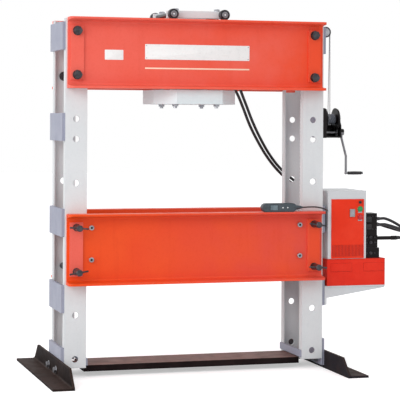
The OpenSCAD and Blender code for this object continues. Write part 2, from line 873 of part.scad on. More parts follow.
module retract_hose() { color(rubber_black) swept_tube(retract_route, hose_d, 8); }

// Hex adaptor and crimped ferrule at a hose's end, pointing along +X
module hose_fitting(adaptor_len = 14, ferrule_len = 26) {
    rotate([0, 90, 0]) {
        cylinder(r = hex_r(24), h = adaptor_len, $fn = 6);
        translate([0, 0, adaptor_len]) cylinder(d = hose_d + 5, h = ferrule_len);
    }
}

// The two hoses' fittings at the valve block
module hose_fittings() {
    color(steel)
        for (route = [advance_route, retract_route]) {
            last = route[len(route) - 1];
            span = last[0] - valve_x - valve_w;
            translate([valve_x + valve_w, last[1], last[2]]) hose_fitting(span * 0.4, span * 0.6);
        }
}

// ---- Bed lift: sheaves, ropes and winch ----

rope_line_r = sheave_d / 2 - sheave_groove;
outer_sheave_x = side_x + outer_sheave_out;
right_sheave_x = rope_drop_right + rope_line_r;
left_sheave_x = rope_line_r - rope_drop_left;
rope_lines = [rope_y + rope_gap / 2, rope_y - rope_gap / 2];
sheave_w = 9;
sheave_pin_d = 14;

// Sheave profile with one rope groove per line, on an axis along Y
module sheave(x, lines) {
    bore_r = sheave_pin_d / 2 + 0.06;
    groove_r = rope_d / 2 + 0.3;
    lowest = min(lines) - sheave_w / 2;
    width = max(lines) - min(lines) + sheave_w;
    color(dark_steel)
        translate([x, lowest, sheave_z])
            rotate([-90, 0, 0])
                rotate_extrude($fn = 64)
                    difference() {
                        translate([bore_r, 0]) square([sheave_d / 2 - bore_r, width]);
                        for (line = lines)
                            translate([0, line - lowest]) {
                                translate([rope_line_r, 0]) circle(groove_r, $fn = 24);
                                polygon([
                                    [rope_line_r, -groove_r], [sheave_d / 2 + 1, -groove_r - 0.6],
                                    [sheave_d / 2 + 1, groove_r + 0.6], [rope_line_r, groove_r]
                                ]);
                            }
                    }
}

module outer_sheave() { sheave(outer_sheave_x, rope_lines); }
module right_sheave() { sheave(right_sheave_x, [rope_lines[0]]); }
module left_sheave() { sheave(left_sheave_x, [rope_lines[1]]); }

// Two cheeks and a pin that carry a sheave from a tie plate: root is the plate's face
module sheave_bracket(x, root, lines) {
    cheek_t = 5;
    cheek_h = 34;
    gap = 0.5;
    low = min(lines) - sheave_w / 2 - gap;
    high = max(lines) + sheave_w / 2 + gap;
    span = abs(x - root);
    dir = x > root ? 1 : -1;
    for (y = [low - cheek_t, high])
        translate([root, y + cheek_t, sheave_z])
            mirror([dir < 0 ? 1 : 0, 0, 0])
                rotate([90, 0, 0])
                    linear_extrude(cheek_t)
                        difference() {
                            union() {
                                translate([0, -cheek_h]) square([8, cheek_h + 17]);
                                polygon([
                                    [0, -cheek_h], [8, -cheek_h], [span + 4, -15], [span, 17], [0, 17]
                                ]);
                                translate([span, 0]) circle(17);
                            }
                            translate([span, 0]) circle(d = sheave_pin_d);
                        }
    translate([x, (low + high) / 2, sheave_z]) y_rod(sheave_pin_d, high - low + 2 * cheek_t + 8);
}

// Brackets and pins of the three sheaves, and the clevises at the ropes' lower ends
module lift_fittings() {
    rope_clevis(rope_drop_right, rope_lines[0]);
    rope_clevis(-rope_drop_left, rope_lines[1]);
    color(dark_steel) {
        sheave_bracket(outer_sheave_x, side_x, rope_lines);
        sheave_bracket(right_sheave_x, outer_x, [rope_lines[0]]);
        sheave_bracket(left_sheave_x, -outer_x, [rope_lines[1]]);
    }
}

// Corners of a rope's line round a quarter of a sheave, with its sides touching the circle
function turn_points(x, y, first) = [
    for (a = [first + 15 : 30 : first + 75])
        [x, y, sheave_z] + rope_line_r / cos(15) * [cos(a), 0, sin(a)]
];
// A rope's line: up from the drum, over two sheaves and down to a clevis
function rope_route(drop_x, y, drum_offset) = concat(
    [[outer_sheave_x + rope_line_r + drum_offset, wound_y, drum_z]],
    turn_points(outer_sheave_x, y, 0),
    turn_points(drop_x + rope_line_r, y, 90),
    [[drop_x, y, lug_hole_z + clevis_top]]
);

// Wire ropes from the drum, over the sheaves and down to the clevises on the bed's lugs
module lifting_ropes() {
    color(steel) {
        swept_tube(rope_route(rope_drop_right, rope_lines[0], -6), rope_d, 8);
        swept_tube(rope_route(-rope_drop_left, rope_lines[1], 6), rope_d, 8);
    }
}

clevis_top = 27;
// Clevis that joins a rope's end to its lug
module rope_clevis(x, y) {
    ear_t = 3;
    ear_w = 18;
    gap = 0.3;
    crown_h = 12;
    outer = lug_t + 2 * (gap + ear_t);
    color(steel)
        translate([x, y, lug_hole_z]) {
            for (end = [-1, 1])
                translate([-ear_w / 2, end > 0 ? lug_t / 2 + gap : -outer / 2, -9])
                    cube([ear_w, ear_t, clevis_top + 9]);
            translate([-ear_w / 2, -outer / 2, clevis_top - crown_h]) cube([ear_w, outer, crown_h]);
            y_rod(2 * rope_d - 1, outer + 4);
        }
}

gear_r = gear_module * gear_teeth / 2;
pinion_r = gear_module * pinion_teeth / 2;
shaft_z = drum_z - gear_r - pinion_r - 0.3;
winch_floor_z = shaft_z - pinion_r - gear_module - winch_t - 1;
winch_top_z = drum_z + 58;
drum_x = side_x + drum_out;
drum_flange_t = 4;
gear_x = drum_x + drum_w + drum_flange_t;
winch_end = gear_x + gear_w + 3;
wound_y = winch_y - drum_wrap_d / 2 - 0.4 - rope_d / 2;
drum_axle_d = 14;

// Outline of a spur gear with straight-flanked teeth; turn is the angle of its first tooth
function tooth_points(teeth, m, turn) =
    let (r = m * teeth / 2, step = 360 / teeth)
    [
        for (i = [0 : teeth - 1])
            for (corner = [[r - 1.2 * m, -0.29], [r, -0.2], [r + 0.85 * m, -0.1],
                           [r + 0.85 * m, 0.1], [r, 0.2], [r - 1.2 * m, 0.29]])
                let (a = turn + (i + corner[1]) * step)
                corner[0] * [cos(a), sin(a)]
    ];

// Drum with its flanges and spur gear, bored for the axle
module winch_drum() {
    core_d = 50;
    color(dark_steel)
        translate([drum_x - drum_flange_t, winch_y, drum_z])
            rotate([90, 0, 90])
                difference() {
                    union() {
                        cylinder(d = core_d, h = drum_w + 2 * drum_flange_t);
                        cylinder(d = drum_flange_d, h = drum_flange_t, $fn = 96);
                        translate([0, 0, drum_flange_t + drum_w])
                            cylinder(d = drum_flange_d, h = drum_flange_t, $fn = 96);
                        translate([0, 0, 2 * drum_flange_t + drum_w])
                            linear_extrude(gear_w)
                                polygon(tooth_points(gear_teeth, gear_module, -90));
                    }
                    translate([0, 0, -1])
                        cylinder(
                            d = drum_axle_d + 0.12, h = drum_w + 2 * drum_flange_t + gear_w + 2
                        );
                }
}

// Wound rope: turns side by side round the drum's core
module drum_rope() {
    turns = floor((drum_w - 1) / rope_d);
    first = (drum_w - (turns - 1) * rope_d) / 2;
    color(steel)
        translate([drum_x, winch_y, drum_z])
            rotate([90, 0, 90])
                rotate_extrude($fn = 48) {
                    translate([25, first - rope_d / 2 + 0.5])
                        square([drum_wrap_d / 2 - 25 - rope_d / 2, (turns - 1) * rope_d + rope_d - 1]);
                    for (i = [0 : turns - 1])
                        translate([(drum_wrap_d - rope_d) / 2, first + i * rope_d])
                            circle(d = rope_d, $fn = 14);
                }
}

// Crank: shaft with its pinion, bent arm and the spindle of the grip
module winch_crank() {
    shaft_start = drum_x - drum_flange_t - 3 - winch_t - 4;
    hub_x = crank_hub_x;
    arm_x = hub_x + 5;
    knee_z = shaft_z - 0.58 * crank_len;
    bend_z = shaft_z - 30;
    far_x = crank_far_x;
    color(dark_steel) {
        translate([(shaft_start + hub_x) / 2, winch_y, shaft_z]) x_rod(shaft_d, hub_x - shaft_start);
        translate([gear_x + 0.5, winch_y, shaft_z])
            rotate([90, 0, 90])
                linear_extrude(gear_w)
                    polygon(tooth_points(pinion_teeth, gear_module, 90 + 180 / pinion_teeth));
        translate([hub_x + 6, winch_y, shaft_z]) x_rod(30, 20);
        bar_between([arm_x, winch_y, shaft_z], [arm_x, winch_y, bend_z], crank_d);
        translate([arm_x, winch_y, bend_z]) sphere(d = crank_d + 1);
        bar_between([arm_x, winch_y, bend_z], [far_x, winch_y, knee_z], crank_d);
        translate([far_x, winch_y, knee_z]) sphere(d = crank_d + 1);
        bar_between([far_x, winch_y, knee_z], [far_x, winch_y, shaft_z - crank_len], crank_d);
        translate([far_x, winch_y, shaft_z - crank_len]) sphere(d = crank_d * 1.3);
        translate([far_x + (grip_len + 14) / 2, winch_y, shaft_z - crank_len])
            x_rod(grip_spindle_d, grip_len + 14);
        translate([far_x + grip_len + 14, winch_y, shaft_z - crank_len]) x_rod(grip_spindle_d + 6, 3);
    }
}

grip_spindle_d = 9;
crank_hub_x = winch_end + winch_t + 15;
crank_far_x = crank_hub_x + 5 + crank_offset;
// Loose grip that turns on the crank's spindle
module crank_grip() {
    color(rubber_black)
        translate([crank_far_x + 10, winch_y, shaft_z - crank_len])
            rotate([0, 90, 0])
                rotate_extrude($fn = 48)
                    polygon([
                        [grip_spindle_d / 2 + 0.08, 0], [grip_d / 2 - 2, 0], [grip_d / 2, 3],
                        [grip_d / 2 - 1, grip_len * 0.4], [grip_d / 2, grip_len - 6],
                        [grip_d / 2 - 3, grip_len], [grip_spindle_d / 2 + 0.08, grip_len]
                    ]);
}

// Winch frame: back plate hooked over the tie plate, floor, rear wall, two bearing plates, the
// drum's axle and the gear cover
module winch_frame() {
    half_w = winch_depth / 2;
    low = winch_floor_z;
    shoulder = 70;
    lip_h = 9;
    hook_y = tie_setback - frame_depth / 2 - 0.3;
    bearing_x = [drum_x - drum_flange_t - 3 - winch_t, winch_end];
    span = bearing_x[1] + winch_t - bearing_x[0];
    color(dark_steel) {
        translate([side_x, hook_y - winch_t, low])
            cube([winch_t, winch_y + half_w + 10 - hook_y + winch_t, winch_top_z - low]);
        translate([outer_x + 0.5, hook_y - winch_t, low])
            cube([tie_t + winch_t - 0.5, winch_t, winch_top_z - low]);
        translate([side_x, winch_y - half_w, low])
            cube([winch_end + winch_t - side_x, winch_depth, winch_t]);
        translate([bearing_x[0], winch_y - half_w, low]) cube([span, winch_t, lip_h]);
        translate([bearing_x[0], winch_y + half_w - winch_t, low]) cube([span, winch_t, 52]);
        for (x = bearing_x)
            translate([x, winch_y, 0])
                rotate([90, 0, 90])
                    linear_extrude(winch_t)
                        difference() {
                            union() {
                                translate([-half_w, low]) square([winch_depth, shoulder]);
                                polygon([
                                    [-half_w, low + shoulder], [half_w, low + shoulder],
                                    [18, drum_z + 8], [-18, drum_z + 8]
                                ]);
                                translate([0, drum_z]) circle(20);
                            }
                            translate([0, shaft_z]) circle(d = shaft_d + 0.12);
                            translate([0, drum_z]) circle(d = drum_axle_d);
                        }
        translate([(bearing_x[0] + bearing_x[1] + winch_t) / 2, winch_y, drum_z])
            x_rod(drum_axle_d, span + 12);
        gear_cover();
        for (end = [-1, 1]) for (z = [low + 18, drum_z - 22])
            translate([side_x + winch_t, winch_y + end * (half_w - 2), z])
                rotate([0, 90, 0]) hex_nut(17, 7, 2);
    }
}

// Round cover over the crank's bearing, on the outer side plate
module gear_cover() {
    cover_h = 10;
    translate([winch_end + winch_t, winch_y, shaft_z])
        rotate([0, 90, 0])
            difference() {
                union() {
                    cylinder(d = 60, h = cover_h - 4);
                    cylinder(d = 48, h = cover_h);
                }
                translate([0, 0, -1]) cylinder(d = shaft_d + 1, h = cover_h + 2);
            }
}

// ---- Electric pump ----

pump_front = front_y + 2;
bracket_x = side_x + bracket_t;
tank_x = bracket_x + 1;
housing_x = tank_x + 5;
lid_t = 3;
lid_z = shelf_z + tank_h;
housing_z = lid_z + lid_t;
valve_x = housing_x + housing_w + 1;
panel_x = housing_x + 20;
panel_y = pump_front + 4;
panel_z = housing_z + 3;

// Bracket bolted to the tie plate: back plate, shelf and two tapered gussets
module pump_bracket() {
    back_low = 356;
    gusset_root = 59;
    gusset_tip = 14;
    depth = tank_depth - 20;
    color(light_grey) {
        translate([side_x, pump_front + 2, back_low]) cube([bracket_t, depth, shelf_z - back_low]);
        translate([bracket_x, pump_front, shelf_z - bracket_plate_t])
            cube([tank_w + 1, tank_depth, bracket_plate_t]);
        for (y = [pump_front + 2, pump_front + depth - bracket_plate_t])
            translate([bracket_x, y + bracket_plate_t, shelf_z - bracket_plate_t])
                rotate([90, 0, 0])
                    linear_extrude(bracket_plate_t)
                        polygon([
                            [0, 0], [tank_w - 2, 0], [tank_w - 2, bracket_plate_t - gusset_tip],
                            [0, -gusset_root]
                        ]);
        for (y = [0.2, 0.8])
            translate([bracket_x, pump_front + 2 + depth * y, back_low + 16])
                rotate([0, 90, 0]) hex_nut(19, 8, 2);
    }
}

// Open steel tank with two raised fields on its front, and its lid
module oil_tank() {
    field_w = 127;
    field_h = 47;
    field_z = shelf_z + 80;
    edge = 22;
    color(tank_red) {
        difference() {
            translate([tank_x, pump_front, shelf_z]) cube([tank_w, tank_depth, tank_h]);
            translate([tank_x + tank_wall, pump_front + tank_wall, shelf_z + tank_wall])
                cube([tank_w - 2 * tank_wall, tank_depth - 2 * tank_wall, tank_h]);
        }
        for (x = [tank_x + edge, tank_x + tank_w - edge + 18 - field_w])
            translate([x, pump_front - 2, field_z])
                cube([min(field_w, tank_x + tank_w - 3 - x), 2, field_h]);
    }
    color(light_grey)
        translate([tank_x - 1, pump_front - 1, lid_z]) cube([tank_w + 2, tank_depth + 2, lid_t]);
}

// Folded housing over the motor, open below and cut out behind the front panel, with the
// pendant cord's gland in its side
module motor_housing() {
    rim = 9;
    gland = pendant_route[len(pendant_route) - 1];
    color(rubber_black)
        translate(gland) {
            rotate([-90, 0, 0]) cylinder(d = 13, h = 22);
            translate([-2, 14, 0]) rotate([0, 90, 0]) cylinder(d = 16, h = housing_x - gland[0] + 3);
        }
    color(light_grey)
        difference() {
            translate([housing_x, panel_y, housing_z]) cube([housing_w, housing_depth, housing_h]);
            translate([housing_x + housing_wall, panel_y + housing_wall, housing_z - 1])
                cube([
                    housing_w - 2 * housing_wall, housing_depth - 2 * housing_wall,
                    housing_h - housing_wall + 1
                ]);
            translate([panel_x + rim, panel_y - 1, panel_z + rim])
                cube([panel_w - 2 * rim, housing_wall + 2, panel_h - 2 * rim]);
        }
}

button_x = panel_x + 173;
start_z = panel_z + 278;
stop_z = panel_z + 232;
key_z = panel_z + 316;
button_d = 22;
panel_t = 3;

// Front panel with a slotted grille at its foot and holes for the controls
module front_panel() {
    slots = 22;
    slot_w = 4;
    grille_w = 184;
    grille_h = 66;
    grille_z = panel_z + 10;
    pitch = (grille_w - slot_w) / (slots - 1);
    color(press_red)
        difference() {
            translate([panel_x, panel_y - panel_t, panel_z]) cube([panel_w, panel_t, panel_h]);
            for (i = [0 : slots - 1])
                translate([panel_x + (panel_w - grille_w) / 2 + i * pitch, panel_y - panel_t - 1, grille_z])
                    cube([slot_w, panel_t + 2, grille_h]);
            for (z = [start_z, stop_z]) translate([button_x, panel_y, z]) y_rod(button_d + 0.8, 20);
            translate([button_x, panel_y, key_z]) y_rod(13, 20);
        }
}

// Hour meter, button collars and the two blank label plates
module panel_trim() {
    face = panel_y - panel_t;
    color(plate_grey) {
        translate([panel_x + 110, face - 5, panel_z + 234]) cube([30, 5, 44]);
        translate([button_x - 13, face - 1, start_z - 22]) cube([26, 1, 7]);
        translate([button_x - 13, face - 1, stop_z - 21]) cube([26, 1, 7]);
    }
    color(dark_steel)
        for (z = [start_z, stop_z])
            translate([button_x, face - 2, z])
                difference() {
                    y_rod(button_d + 7, 4);
                    y_rod(button_d + 0.8, 6);
                }
}

// Push button whose stem passes through the panel
module push_button(z, tint) {
    color(tint)
        translate([button_x, panel_y - panel_t - 9, z])
            rotate([-90, 0, 0]) {
                cylinder(d = button_d, h = 14);
                translate([0, 0, -1.5]) cylinder(d1 = button_d - 3, d2 = button_d, h = 1.5);
                translate([0, 0, 14]) cylinder(d = 12, h = 10);
            }
}

module start_button() { push_button(start_z, [0.05, 0.55, 0.28]); }
module stop_button() { push_button(stop_z, [0.75, 0.08, 0.10]); }

// Key lock barrel with its key
module key_switch() {
    color(dark_steel)
        translate([button_x, panel_y - panel_t - 3, key_z]) {
            translate([0, 10, 0]) y_rod(12.6, 26);
            y_rod(17, 5.4);
            translate([-1, -18, -6]) cube([2, 15, 12]);
        }
}

// Finned motor on its pump inside the housing, standing on the tank's lid
module pump_motor() {
    motor_d = 0.56 * housing_w;
    pump_h = 0.13 * housing_h;
    motor_h = 0.6 * housing_h;
    fins = 16;
    color(steel)
        translate([housing_x + housing_w / 2, panel_y + housing_depth / 2, housing_z]) {
            cylinder(d = 1.15 * motor_d, h = pump_h);
            translate([0, 0, pump_h]) cylinder(d = motor_d, h = motor_h);
            for (i = [0 : fins - 1])
                rotate(360 / fins * i)
                    translate([0.46 * motor_d, -2, pump_h + 10])
                        cube([0.11 * motor_d, 4, motor_h - 40]);
            translate([0, 0, pump_h + motor_h])
                cylinder(d1 = motor_d, d2 = 0.77 * motor_d, h = 0.08 * housing_h);
        }
}

// Valve block on the tank's lid beside the housing, with its solenoids and cable gland
module valve_block() {
    depth = 86;
    block_y = pump_front + 22;
    color([0.10, 0.09, 0.10]) {
        translate([valve_x, block_y, housing_z]) cube([valve_w + 14, depth, 58]);
        translate([valve_x, block_y + 6, housing_z + 58]) cube([valve_w + 6, depth - 12, 70]);
        translate([valve_x, block_y, housing_z + 128]) cube([valve_w, depth, valve_h - 128 + 58]);
    }
    color(rubber_black)
        translate([valve_x + valve_w, cable_route[0][1], cable_route[0][2]])
            rotate([0, 90, 0]) {
                cylinder(r = hex_r(26), h = 12, $fn = 6);
                cylinder(d = 21, h = cable_route[0][0] - valve_x - valve_w - 30);
                translate([0, 0, cable_route[0][0] - valve_x - valve_w - 30]) cylinder(d = 24, h = 30);
            }
}

knob_z = housing_z + 36;
// Adjusting knob of the relief valve
module relief_knob() {
    color(rubber_black)
        translate([valve_x + valve_w + 14.4, pump_front + 22 + 43, knob_z])
            rotate([0, 90, 0]) {
                difference() {
                    cylinder(d = 22, h = 14);
                    for (i = [0 : 11])
                        rotate(30 * i) translate([11.8, 0, 2]) cylinder(d = 4, h = 14, $fn = 16);
                }
                cylinder(d = 10, h = 16);
            }
}

// ---- Power cable ----

cable_d = 13;
coil_centre = [1428, 40, 0];
coil_r = 78;
// From the gland, out past the pump and down to the coil on the floor
cable_route = [
    [1210, -116, 722], [1234, -116, 722], [1266, -115, 703], [1287, -112, 662], [1295, -108, 600],
    [1299, -104, 510], [1301, -100, 410], [1303, -96, 310], [1307, -92, 220], [1314, -88, 140],
    [1325, -80, 76], [1338, -62, 36], [1347, -36, 22], [1350, -7, 20]
];
module power_cable() { color(rubber_black) swept_tube(cable_route, cable_d, 8); }

// Neat round coil of the spare cable, lying on the floor
module cable_coil() {
    color(rubber_black)
        translate(coil_centre)
            rotate_extrude($fn = 48)
                translate([coil_r - 20, 0]) square([33, 39]);
}

// Three-pole plug lying beside the coil
module power_plug() {
    color(rubber_black)
        translate([coil_centre[0] - 40, coil_centre[1] + coil_r + 34, 21]) {
            rotate([0, 90, 0]) cylinder(d = 42, h = 50);
            translate([-22, 0, 0]) rotate([0, 90, 0]) cylinder(d1 = 22, d2 = 42, h = 22);
            translate([50, 0, 0])
                for (i = [0 : 2])
                    translate([0, 10 * cos(120 * i), 10 * sin(120 * i)])
                        rotate([0, 90, 0]) cylinder(d = 5, h = 18);
        }
}

// ---- Pendant ----

pendant_x = 354;
pendant_y = front_y - 60;
rocker_x = 66;
rocker_well = 30;

// Lays the pendant on its edge along the bed's front flange, its face to the front
module pendant_place() {
    translate([pendant_x, pendant_y, bed_top + pendant_w / 2])
        rotate([90, 0, 0]) translate([0, 0, -pendant_h / 2]) children();
}

// Pendant body: a bar with round ends, a well for the rocker and a tapered strain relief
module pendant_body() {
    end_r = pendant_w / 2;
    well_w = 46;
    face_step = 3;
    color([0.27, 0.35, 0.38])
        pendant_place() {
            difference() {
                union() {
                    pendant_outline(0, pendant_h - face_step);
                    pendant_outline(face_step, pendant_h);
                }
                translate([rocker_x - well_w / 2, -rocker_well / 2, pendant_h - 14])
                    cube([well_w, rocker_well, 20]);
            }
            translate([pendant_len - 3, 0, pendant_h / 2])
                rotate([0, 90, 0]) cylinder(d1 = end_r * 1.2, d2 = 10, h = 45);
        }
}

// Bar with round ends, each edge set in from the pendant's outline
module pendant_outline(inset, h) {
    r = pendant_w / 2;
    for (x = [r, pendant_len - r]) translate([x, 0, 0]) cylinder(r = r - inset, h = h);
    translate([r, inset - r, 0]) cube([pendant_len - 2 * r, pendant_w - 2 * inset, h]);
}

// Rocker of the pendant: one end raises the ram and the other lowers it
module pendant_rocker() {
    color([0.42, 0.50, 0.53])
        pendant_place() translate([rocker_x, 0, pendant_h - 8]) {
            rotate([90, 0, 0])
                linear_extrude(27, center = true)
                    polygon([[-18, -1], [18, -1], [21, 10], [0, 7], [-21, 10]]);
            translate([0, 0, 2.5]) y_rod(4, rocker_well - 0.6);
        }
}

// From the strain relief, over the end of the bed, to the gland on the housing's side
pendant_route = [
    [596, -235, 910], [610, -235, 910], [632, -231, 911], [658, -225, 911], [686, -218, 909],
    [714, -210, 904], [738, -199, 897], [756, -184, 891], [765, -172, 888], [765, -160, 888]
];
module pendant_cord() {
    color(rubber_black) swept_tube(pendant_route, 8, 8);
}

left_upright();
right_upright();
left_tie_plates();
right_tie_plates();
base_member();
left_foot();
right_foot();
foot_bolts();
upper_front_channel();
upper_rear_channel();
upper_diaphragms();
bearing_plates();
bolster_bolts();
bed_front_channel();
bed_rear_channel();
bed_spacers();
pin_upper_left();
pin_upper_right();
pin_lower_left();
pin_lower_right();
carriage_frame();
wheel_front_left();
wheel_front_right();
wheel_rear_left();
wheel_rear_right();
head_plate();
hanger_studs();
cylinder_body();
cylinder_gland();
ram();
hose_fittings();
advance_hose();
retract_hose();
lift_fittings();
outer_sheave();
right_sheave();
left_sheave();
lifting_ropes();
winch_frame();
winch_drum();
drum_rope();
winch_crank();
crank_grip();
pump_bracket();
oil_tank();
motor_housing();
front_panel();
panel_trim();
key_switch();
start_button();
stop_button();
valve_block();
relief_knob();
pump_motor();
power_cable();
cable_coil();
power_plug();
pendant_body();
pendant_rocker();
pendant_cord();
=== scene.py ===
"""Dresses the electro-hydraulic press: its paints and metals, hoses, ropes, labels and controls.

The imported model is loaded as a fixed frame. Every finish is a small class that builds one
material, and every sub-assembly is a class that holds its sizes and makes its own pieces.
"""

from __future__ import annotations

import logging
import math
from dataclasses import dataclass
from enum import Enum
from itertools import product
from typing import Callable, Iterable, Sequence

import bpy
from mathutils import Matrix, Vector


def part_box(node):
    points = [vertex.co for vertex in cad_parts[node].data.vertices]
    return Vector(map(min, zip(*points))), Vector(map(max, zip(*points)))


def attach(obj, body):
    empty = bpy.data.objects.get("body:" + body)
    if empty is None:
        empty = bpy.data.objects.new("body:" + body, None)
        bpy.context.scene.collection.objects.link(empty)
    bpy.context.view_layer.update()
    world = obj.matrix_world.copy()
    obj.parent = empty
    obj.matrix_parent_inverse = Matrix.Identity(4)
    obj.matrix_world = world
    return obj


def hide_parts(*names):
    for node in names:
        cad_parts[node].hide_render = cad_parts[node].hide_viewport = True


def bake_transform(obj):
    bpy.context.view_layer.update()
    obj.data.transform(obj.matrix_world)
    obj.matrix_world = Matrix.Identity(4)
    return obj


logging.basicConfig(level=logging.INFO, format="%(message)s")
LOG = logging.getLogger("press")

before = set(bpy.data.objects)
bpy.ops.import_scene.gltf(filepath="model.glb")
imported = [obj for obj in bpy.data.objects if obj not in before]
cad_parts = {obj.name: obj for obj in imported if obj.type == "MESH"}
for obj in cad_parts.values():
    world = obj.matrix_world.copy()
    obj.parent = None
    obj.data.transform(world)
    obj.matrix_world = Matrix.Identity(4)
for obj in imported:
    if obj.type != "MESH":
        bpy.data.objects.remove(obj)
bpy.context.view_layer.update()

MM = 0.001

# A Mix node has several sockets of each name, so the ones for colours go by number.
MIX_FACTOR, MIX_FIRST, MIX_SECOND, MIX_RESULT = 0, 6, 7, 2

# Degrees between two faces: shading stays smooth under the first, and a bevel starts over
# the second.
SMOOTH_UNDER, SHARP_OVER = 35, 40

# Steps in the bevel of an edge and of an outline's corner.
EDGE_STEPS, CORNER_STEPS = 2, 6

# Millimetres that a piece stands off the face it is fixed to, so that the two don't flicker.
OFF = 0.05

Pair = tuple[float, float]
Point = tuple[float, float, float]
Area = tuple[float, float, float, float]
Colour = tuple[int, int, int]
Profile = Sequence[Pair]
Socket = bpy.types.NodeSocket
Piece = bpy.types.Object


def linear(red: int, green: int, blue: int) -> Point:
    """Turns a display colour into the linear one that a shader wants.

    Args:
        red: Red from 0 to 255.
        green: Green from 0 to 255.
        blue: Blue from 0 to 255.

    Returns:
        The same colour as three linear shares.
    """
    shares = (value / 255 for value in (red, green, blue))
    return tuple(s / 12.92 if s <= 0.04045 else ((s + 0.055) / 1.055) ** 2.4 for s in shares)


def metres(points: Iterable[Sequence[float]]) -> list[Vector]:
    """Turns points in millimetres into vectors in metres.

    Args:
        points: Points in millimetres.

    Returns:
        The same points in metres.
    """
    return [Vector(p) * MM for p in points]


def box_of(node: str) -> tuple[Vector, Vector]:
    """Lowest and highest corner of a node at rest, in millimetres."""
    low, high = (Vector(corner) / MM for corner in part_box(node))
    return low, high


class Graph:
    """A new material with its shader, and short calls for the nodes that the finishes share."""

    def __init__(self, name: str) -> None:
        """Starts the material.

        Args:
            name: The material's name.
        """
        self.material = bpy.data.materials.new(name)
        self.material.use_nodes = True
        self.tree = self.material.node_tree
        self.tree.nodes.clear()
        self.shader = self.add("ShaderNodeBsdfPrincipled")
        output = self.add("ShaderNodeOutputMaterial")
        self.tree.links.new(self.shader.outputs["BSDF"], output.inputs["Surface"])
        self.coords = self.add("ShaderNodeTexCoord").outputs["Object"]

    def add(self, kind: str, **settings: object) -> bpy.types.Node:
        """Adds a node.

        Args:
            kind: The node's type.
            settings: Its properties by name.

        Returns:
            The node.
        """
        node = self.tree.nodes.new(kind)
        for name, value in settings.items():
            setattr(node, name, value)
        return node

    def feed(self, node: bpy.types.Node, **inputs: object) -> bpy.types.Node:
        """Fills a node's inputs with sockets or plain values.

        Args:
            node: The node to fill.
            inputs: Values or output sockets by input name, with underscores for spaces.

        Returns:
            The same node.
        """
        for name, value in inputs.items():
            socket = node.inputs[name.replace("_", " ")]
            if isinstance(value, Socket):
                self.tree.links.new(value, socket)
            else:
                socket.default_value = value
        return node

    def noise(
        self, size: float, detail: float = 3.0, rough: float = 0.5, stretch: Point = (1, 1, 1)
    ) -> Socket:
        """Cloudy pattern of one size.

        Args:
            size: The width of its cells in metres.
            detail: How many finer layers it has.
            rough: How strong the finer layers are.
            stretch: Scale along each axis.

        Returns:
            A value from 0 to 1.
        """
        mapping = self.feed(self.add("ShaderNodeMapping"), Vector=self.coords, Scale=stretch)
        node = self.feed(
            self.add("ShaderNodeTexNoise"),
            Vector=mapping.outputs[0], Scale=1 / size, Detail=detail, Roughness=rough,
        )
        return node.outputs["Fac"]

    def wrapping(self, turns: float, pitch: float, scale: float) -> Socket:
        """Slanting bands round a tube, laid out on its own map.

        Args:
            turns: Scale of the pattern round the tube.
            pitch: Length of tube in metres that one unit of the pattern takes.
            scale: Scale of the bands.

        Returns:
            A value from 0 to 1.
        """
        chart = self.add("ShaderNodeUVMap", uv_map=Tube.chart).outputs[0]
        mapping = self.feed(
            self.add("ShaderNodeMapping"), Vector=chart, Scale=(turns, 1 / pitch, 1.0)
        )
        wave = self.add("ShaderNodeTexWave", wave_type="BANDS", bands_direction="DIAGONAL")
        return self.feed(wave, Vector=mapping.outputs[0], Scale=scale).outputs["Fac"]

    def fit(
        self, value: Socket, low: float, high: float, to: Pair = (0, 1)
    ) -> Socket:
        """Spreads part of a value's span over another span.

        Args:
            value: The value.
            low: Where the span starts.
            high: Where it ends.
            to: The span that comes out.

        Returns:
            The clamped value.
        """
        node = self.feed(self.add("ShaderNodeMapRange", clamp=True), Value=value)
        return self.feed(
            node, From_Min=low, From_Max=high, To_Min=to[0], To_Max=to[1]
        ).outputs["Result"]

    def gloss(self, pattern: Socket, level: float, below: float, above: float) -> Socket:
        """Roughness that wanders round one level.

        Args:
            pattern: The pattern that it follows.
            level: The level.
            below: How far it falls under the level.
            above: How far it rises over it.

        Returns:
            The roughness.
        """
        return self.fit(pattern, 0.3, 0.7, (level - below, level + above))

    def times(self, first: Socket, second: Socket) -> Socket:
        """Multiplies two values.

        Args:
            first: One value.
            second: The other.

        Returns:
            Their product.
        """
        node = self.add("ShaderNodeMath", operation="MULTIPLY")
        self.tree.links.new(first, node.inputs[0])
        self.tree.links.new(second, node.inputs[1])
        return node.outputs[0]

    def split(self, vector: Socket, axis: str) -> Socket:
        """One share of a vector: its "X", "Y" or "Z"."""
        return self.feed(self.add("ShaderNodeSeparateXYZ"), Vector=vector).outputs[axis]

    def blend(self, factor: Socket, first: object, second: object) -> Socket:
        """Mixes two colours.

        Args:
            factor: The share of the second colour.
            first: A display colour or a socket.
            second: A display colour or a socket.

        Returns:
            The mixed colour.
        """
        node = self.add("ShaderNodeMix", data_type="RGBA")
        pairs = ((MIX_FACTOR, factor), (MIX_FIRST, first), (MIX_SECOND, second))
        for index, value in pairs:
            if isinstance(value, Socket):
                self.tree.links.new(value, node.inputs[index])
            else:
                node.inputs[index].default_value = (*linear(*value), 1.0)
        return node.outputs[MIX_RESULT]

    def bump(
        self, height: Socket, depth: float, strength: float, under: Socket | None = None
    ) -> Socket:
        """Small relief.

        Args:
            height: The pattern that raises the surface.
            depth: Its height in metres.
            strength: The share of it that shows.
            under: A relief that this one lies on.

        Returns:
            The normal.
        """
        node = self.feed(
            self.add("ShaderNodeBump"), Height=height, Distance=depth, Strength=strength
        )
        if under is not None:
            self.feed(node, Normal=under)
        return node.outputs["Normal"]

